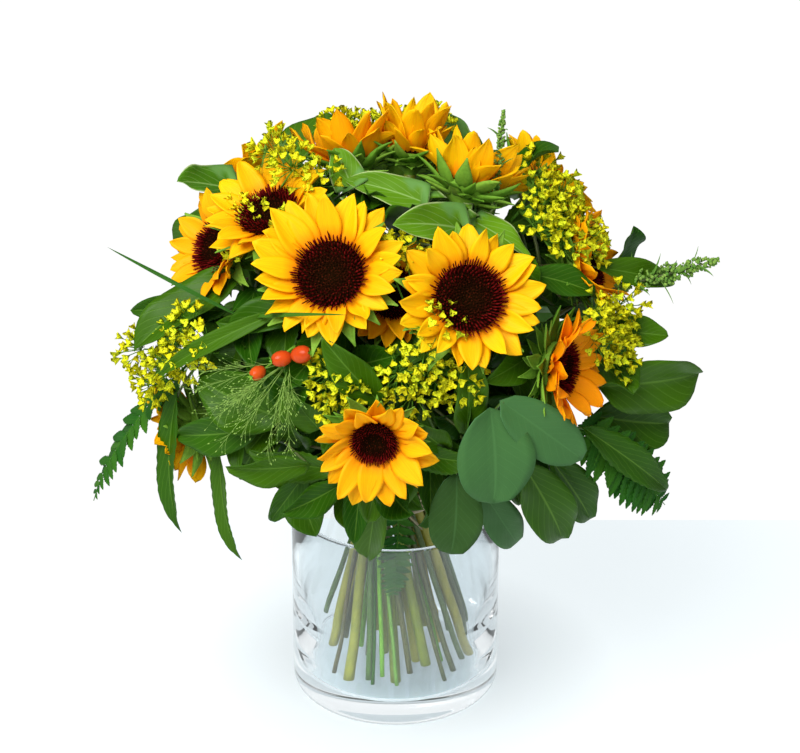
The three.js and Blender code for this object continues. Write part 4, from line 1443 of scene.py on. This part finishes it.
class BOUQUET_OT_vase(BouquetOperator, bpy.types.Operator):
    """Turn the thick-based glass cylinder"""
    bl_idname = "bouquet.vase"
    bl_label = "Glass vase"

    def build(self, context):
        outer, floor = VASE_RADIUS, 18 * MM
        lip, bend, inner_bend = 2 * MM, 8 * MM, 6 * MM
        profile = [(0, 0.8 * MM), (0.72 * outer, 0.8 * MM), (0.8 * outer, 0)]
        profile += arc(outer - bend, bend, bend, -90, 0)
        profile += [(outer, share * VASE_HEIGHT) for share in (0.25, 0.5, 0.75)]
        profile += arc(outer - lip, VASE_HEIGHT - lip, lip, 0, 180)
        profile += [(radius * MM, height * MM) for radius, height in INNER_WALL]
        profile += arc(INNER_WALL[-1][0] * MM - inner_bend, floor + inner_bend, inner_bend, 0, -90)
        profile += [(0.4 * outer, floor - 0.3 * MM), (0, floor - 0.5 * MM)]
        piece = spun_piece("vase_glass", profile, steps=128)
        piece.data.materials.append(clear_finish("glass", (0.87, 0.915, 0.935), 1.5, 14.0, 0.03))
        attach(piece, "root")
        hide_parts("vase")


class BOUQUET_OT_sunflower_stems(BouquetOperator, bpy.types.Operator):
    """Run the thick stems from the heads through the tie down to their cut ends"""
    bl_idname = "bouquet.sunflower_stems"
    bl_label = "Sunflower stems"

    def build(self, context):
        user = settings()
        material = stem_finish("thick_stem", tuple(user.stem), (0.4, 0.33, 0.03))
        tube = thick_tube()
        for number, flower in enumerate(SUNFLOWERS, 1):
            back, _, normal = head_axes(flower)
            gathering = Gathering()
            node = f"sunflower_{number}_stem"
            tone = random.Random(number).random()
            neck = back - normal * 8 * MM
            lay_stem(gathering, tube, node, neck, normal, 3.7 * MM, tone, 4.4 * MM, seed=number)
            piece = gathering.finish(node + "_round", material)
            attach(piece, "root")
            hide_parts(node)


class BOUQUET_OT_heads(BouquetOperator, bpy.types.Operator):
    """Build each sunflower head: petals in two rows, disc florets and the green bracts behind"""
    bl_idname = "bouquet.heads"
    bl_label = "Sunflower heads"

    def build(self, context):
        user = settings()
        build_petals(user, petal_masters(), petal_finish(user))
        build_discs(disc_finish(user), floret_master(), shared("bead", bead_master))
        build_calyces(tissue_finish("calyx", (0.12, 0.31, 0.02), (0.26, 0.48, 0.05), 0.6, 500.0, 0.2),
                      shared("bract", bract_master))


class BOUQUET_OT_leaves(BouquetOperator, bpy.types.Operator):
    """Grow the leafy sprigs with their broad, heart-shaped and round leaves"""
    bl_idname = "bouquet.leaves"
    bl_label = "Leafy sprigs"

    def build(self, context):
        user = settings()
        leaf, heart, gum = tuple(user.leaf), tuple(user.heart_leaf), tuple(user.eucalyptus)
        materials = {
            "broad": leaf_finish("broad_leaf", leaf, (0.13, 0.28, 0.03), (0.05, 0.14, 0.012), 0.36),
            "heart": leaf_finish("heart_leaf", heart, (0.3, 0.5, 0.14), (0.12, 0.28, 0.06), 0.5, 0.7,
                                 rim=(0.5, 0.62, 0.28), pairs=5.0),
            "round": leaf_finish("round_leaf", gum, (0.1, 0.26, 0.08), (0.1, 0.26, 0.12), 0.48, 0.22,
                                 pairs=11.0, fresh=(0.065, 0.19, 0.06)),
            "woody": woody_finish(),
        }
        build_leafy_sprigs(materials, shared("leaves", leaf_masters), stalk_tube(), thick_tube())


class BOUQUET_OT_fillers(BouquetOperator, bpy.types.Operator):
    """Add the statice, ferns, amaranth, grasses and rosehips between the heads"""
    bl_idname = "bouquet.fillers"
    bl_label = "Filler flowers and grasses"

    def build(self, context):
        user = settings()
        stem_tube, tube = thick_tube(), stalk_tube()
        thin = shared("thin_tube", lambda: tube_master("thin_tube", 3, 3))
        bead, bract = shared("bead", bead_master), shared("bract", bract_master)
        slim_leaf = shared("leaves", leaf_masters)["slim"]
        woody = woody_finish()
        green = tissue_finish("soft_stalk", (0.07, 0.22, 0.015), (0.17, 0.38, 0.03), 0.55)
        statice = tissue_finish("statice", tuple(user.statice), (0.85, 0.95, 0.03), 0.6, 200.0, 0.3, 0.15)
        build_statice(statice, green, statice_master(), tube, thin, stem_tube)
        fern = leaf_finish("fern", (0.015, 0.11, 0.008), (0.06, 0.2, 0.02), (0.04, 0.14, 0.02), 0.5, 0.5,
                           pairs=6.0)
        build_ferns(fern, woody, pinna_master(), tube, stem_tube)
        spike = tissue_finish("amaranth", (0.09, 0.24, 0.03), (0.26, 0.42, 0.08), 0.75, 600.0, 0.1)
        build_amaranth(spike, woody, bead, bract, stem_tube)
        straw = tissue_finish("panicum", (0.06, 0.2, 0.02), (0.3, 0.48, 0.1), 0.5)
        build_panicum(straw, thin, bead, stem_tube)
        skin = tissue_finish("rosehip", tuple(user.rosehip), (0.6, 0.09, 0.01), 0.22, 160.0)
        build_rosehips(skin, green, hip_master(), bract, tube, stem_tube)
        grass = leaf_finish("grass_blade", (0.025, 0.12, 0.01), (0.07, 0.2, 0.03), (0.05, 0.16, 0.03),
                            0.5, 0.4, pairs=1.0)
        build_bear_grass(grass, slim_leaf, stem_tube)


class BOUQUET_OT_tie(BouquetOperator, bpy.types.Operator):
    """Wind the raffia round the waist of the bouquet"""
    bl_idname = "bouquet.tie"
    bl_label = "Raffia tie"

    def build(self, context):
        raffia = stem_finish("raffia", (0.42, 0.33, 0.2), (0.55, 0.46, 0.3), 0.7)
        build_tie(raffia, tube_master("strand", 6, 60))


class BOUQUET_OT_studio(BouquetOperator, bpy.types.Operator):
    """Set the pale table top, the soft light and the camera"""
    bl_idname = "bouquet.studio"
    bl_label = "Studio"

    def build(self, context):
        studio = context.scene.studio_settings
        add_table_top(studio)
        add_surroundings(context.scene, studio)
        add_window_light(context.scene, studio)
        add_camera(context.scene)


class BOUQUET_PT_panel(bpy.types.Panel):
    """Lists the bouquet's pieces and settings"""
    bl_idname = "BOUQUET_PT_panel"
    bl_label = "Sunflower bouquet"
    bl_space_type = "VIEW_3D"
    bl_region_type = "UI"
    bl_category = "Bouquet"

    def draw(self, context):
        for holder in (context.scene.bouquet_settings, context.scene.studio_settings):
            column = self.layout.column(align=True)
            for name in holder.__annotations__:
                column.prop(holder, name)
        for operator in OPERATORS:
            self.layout.operator(operator.bl_idname)


OPERATORS = (
    BOUQUET_OT_studio,
    BOUQUET_OT_vase,
    BOUQUET_OT_sunflower_stems,
    BOUQUET_OT_heads,
    BOUQUET_OT_leaves,
    BOUQUET_OT_fillers,
    BOUQUET_OT_tie,
)
CLASSES = (BouquetSettings, StudioSettings, *OPERATORS, BOUQUET_PT_panel)


def register():
    for cls in CLASSES:
        bpy.utils.register_class(cls)
    bpy.types.Scene.bouquet_settings = bpy.props.PointerProperty(type=BouquetSettings)
    bpy.types.Scene.studio_settings = bpy.props.PointerProperty(type=StudioSettings)


def unregister():
    del bpy.types.Scene.studio_settings
    del bpy.types.Scene.bouquet_settings
    for cls in reversed(CLASSES):
        bpy.utils.unregister_class(cls)


def main():
    register()
    for operator in OPERATORS:
        group, name = operator.bl_idname.split(".")
        getattr(getattr(bpy.ops, group), name)()
    bpy.context.view_layer.update()


if __name__ == "__main__":
    main()
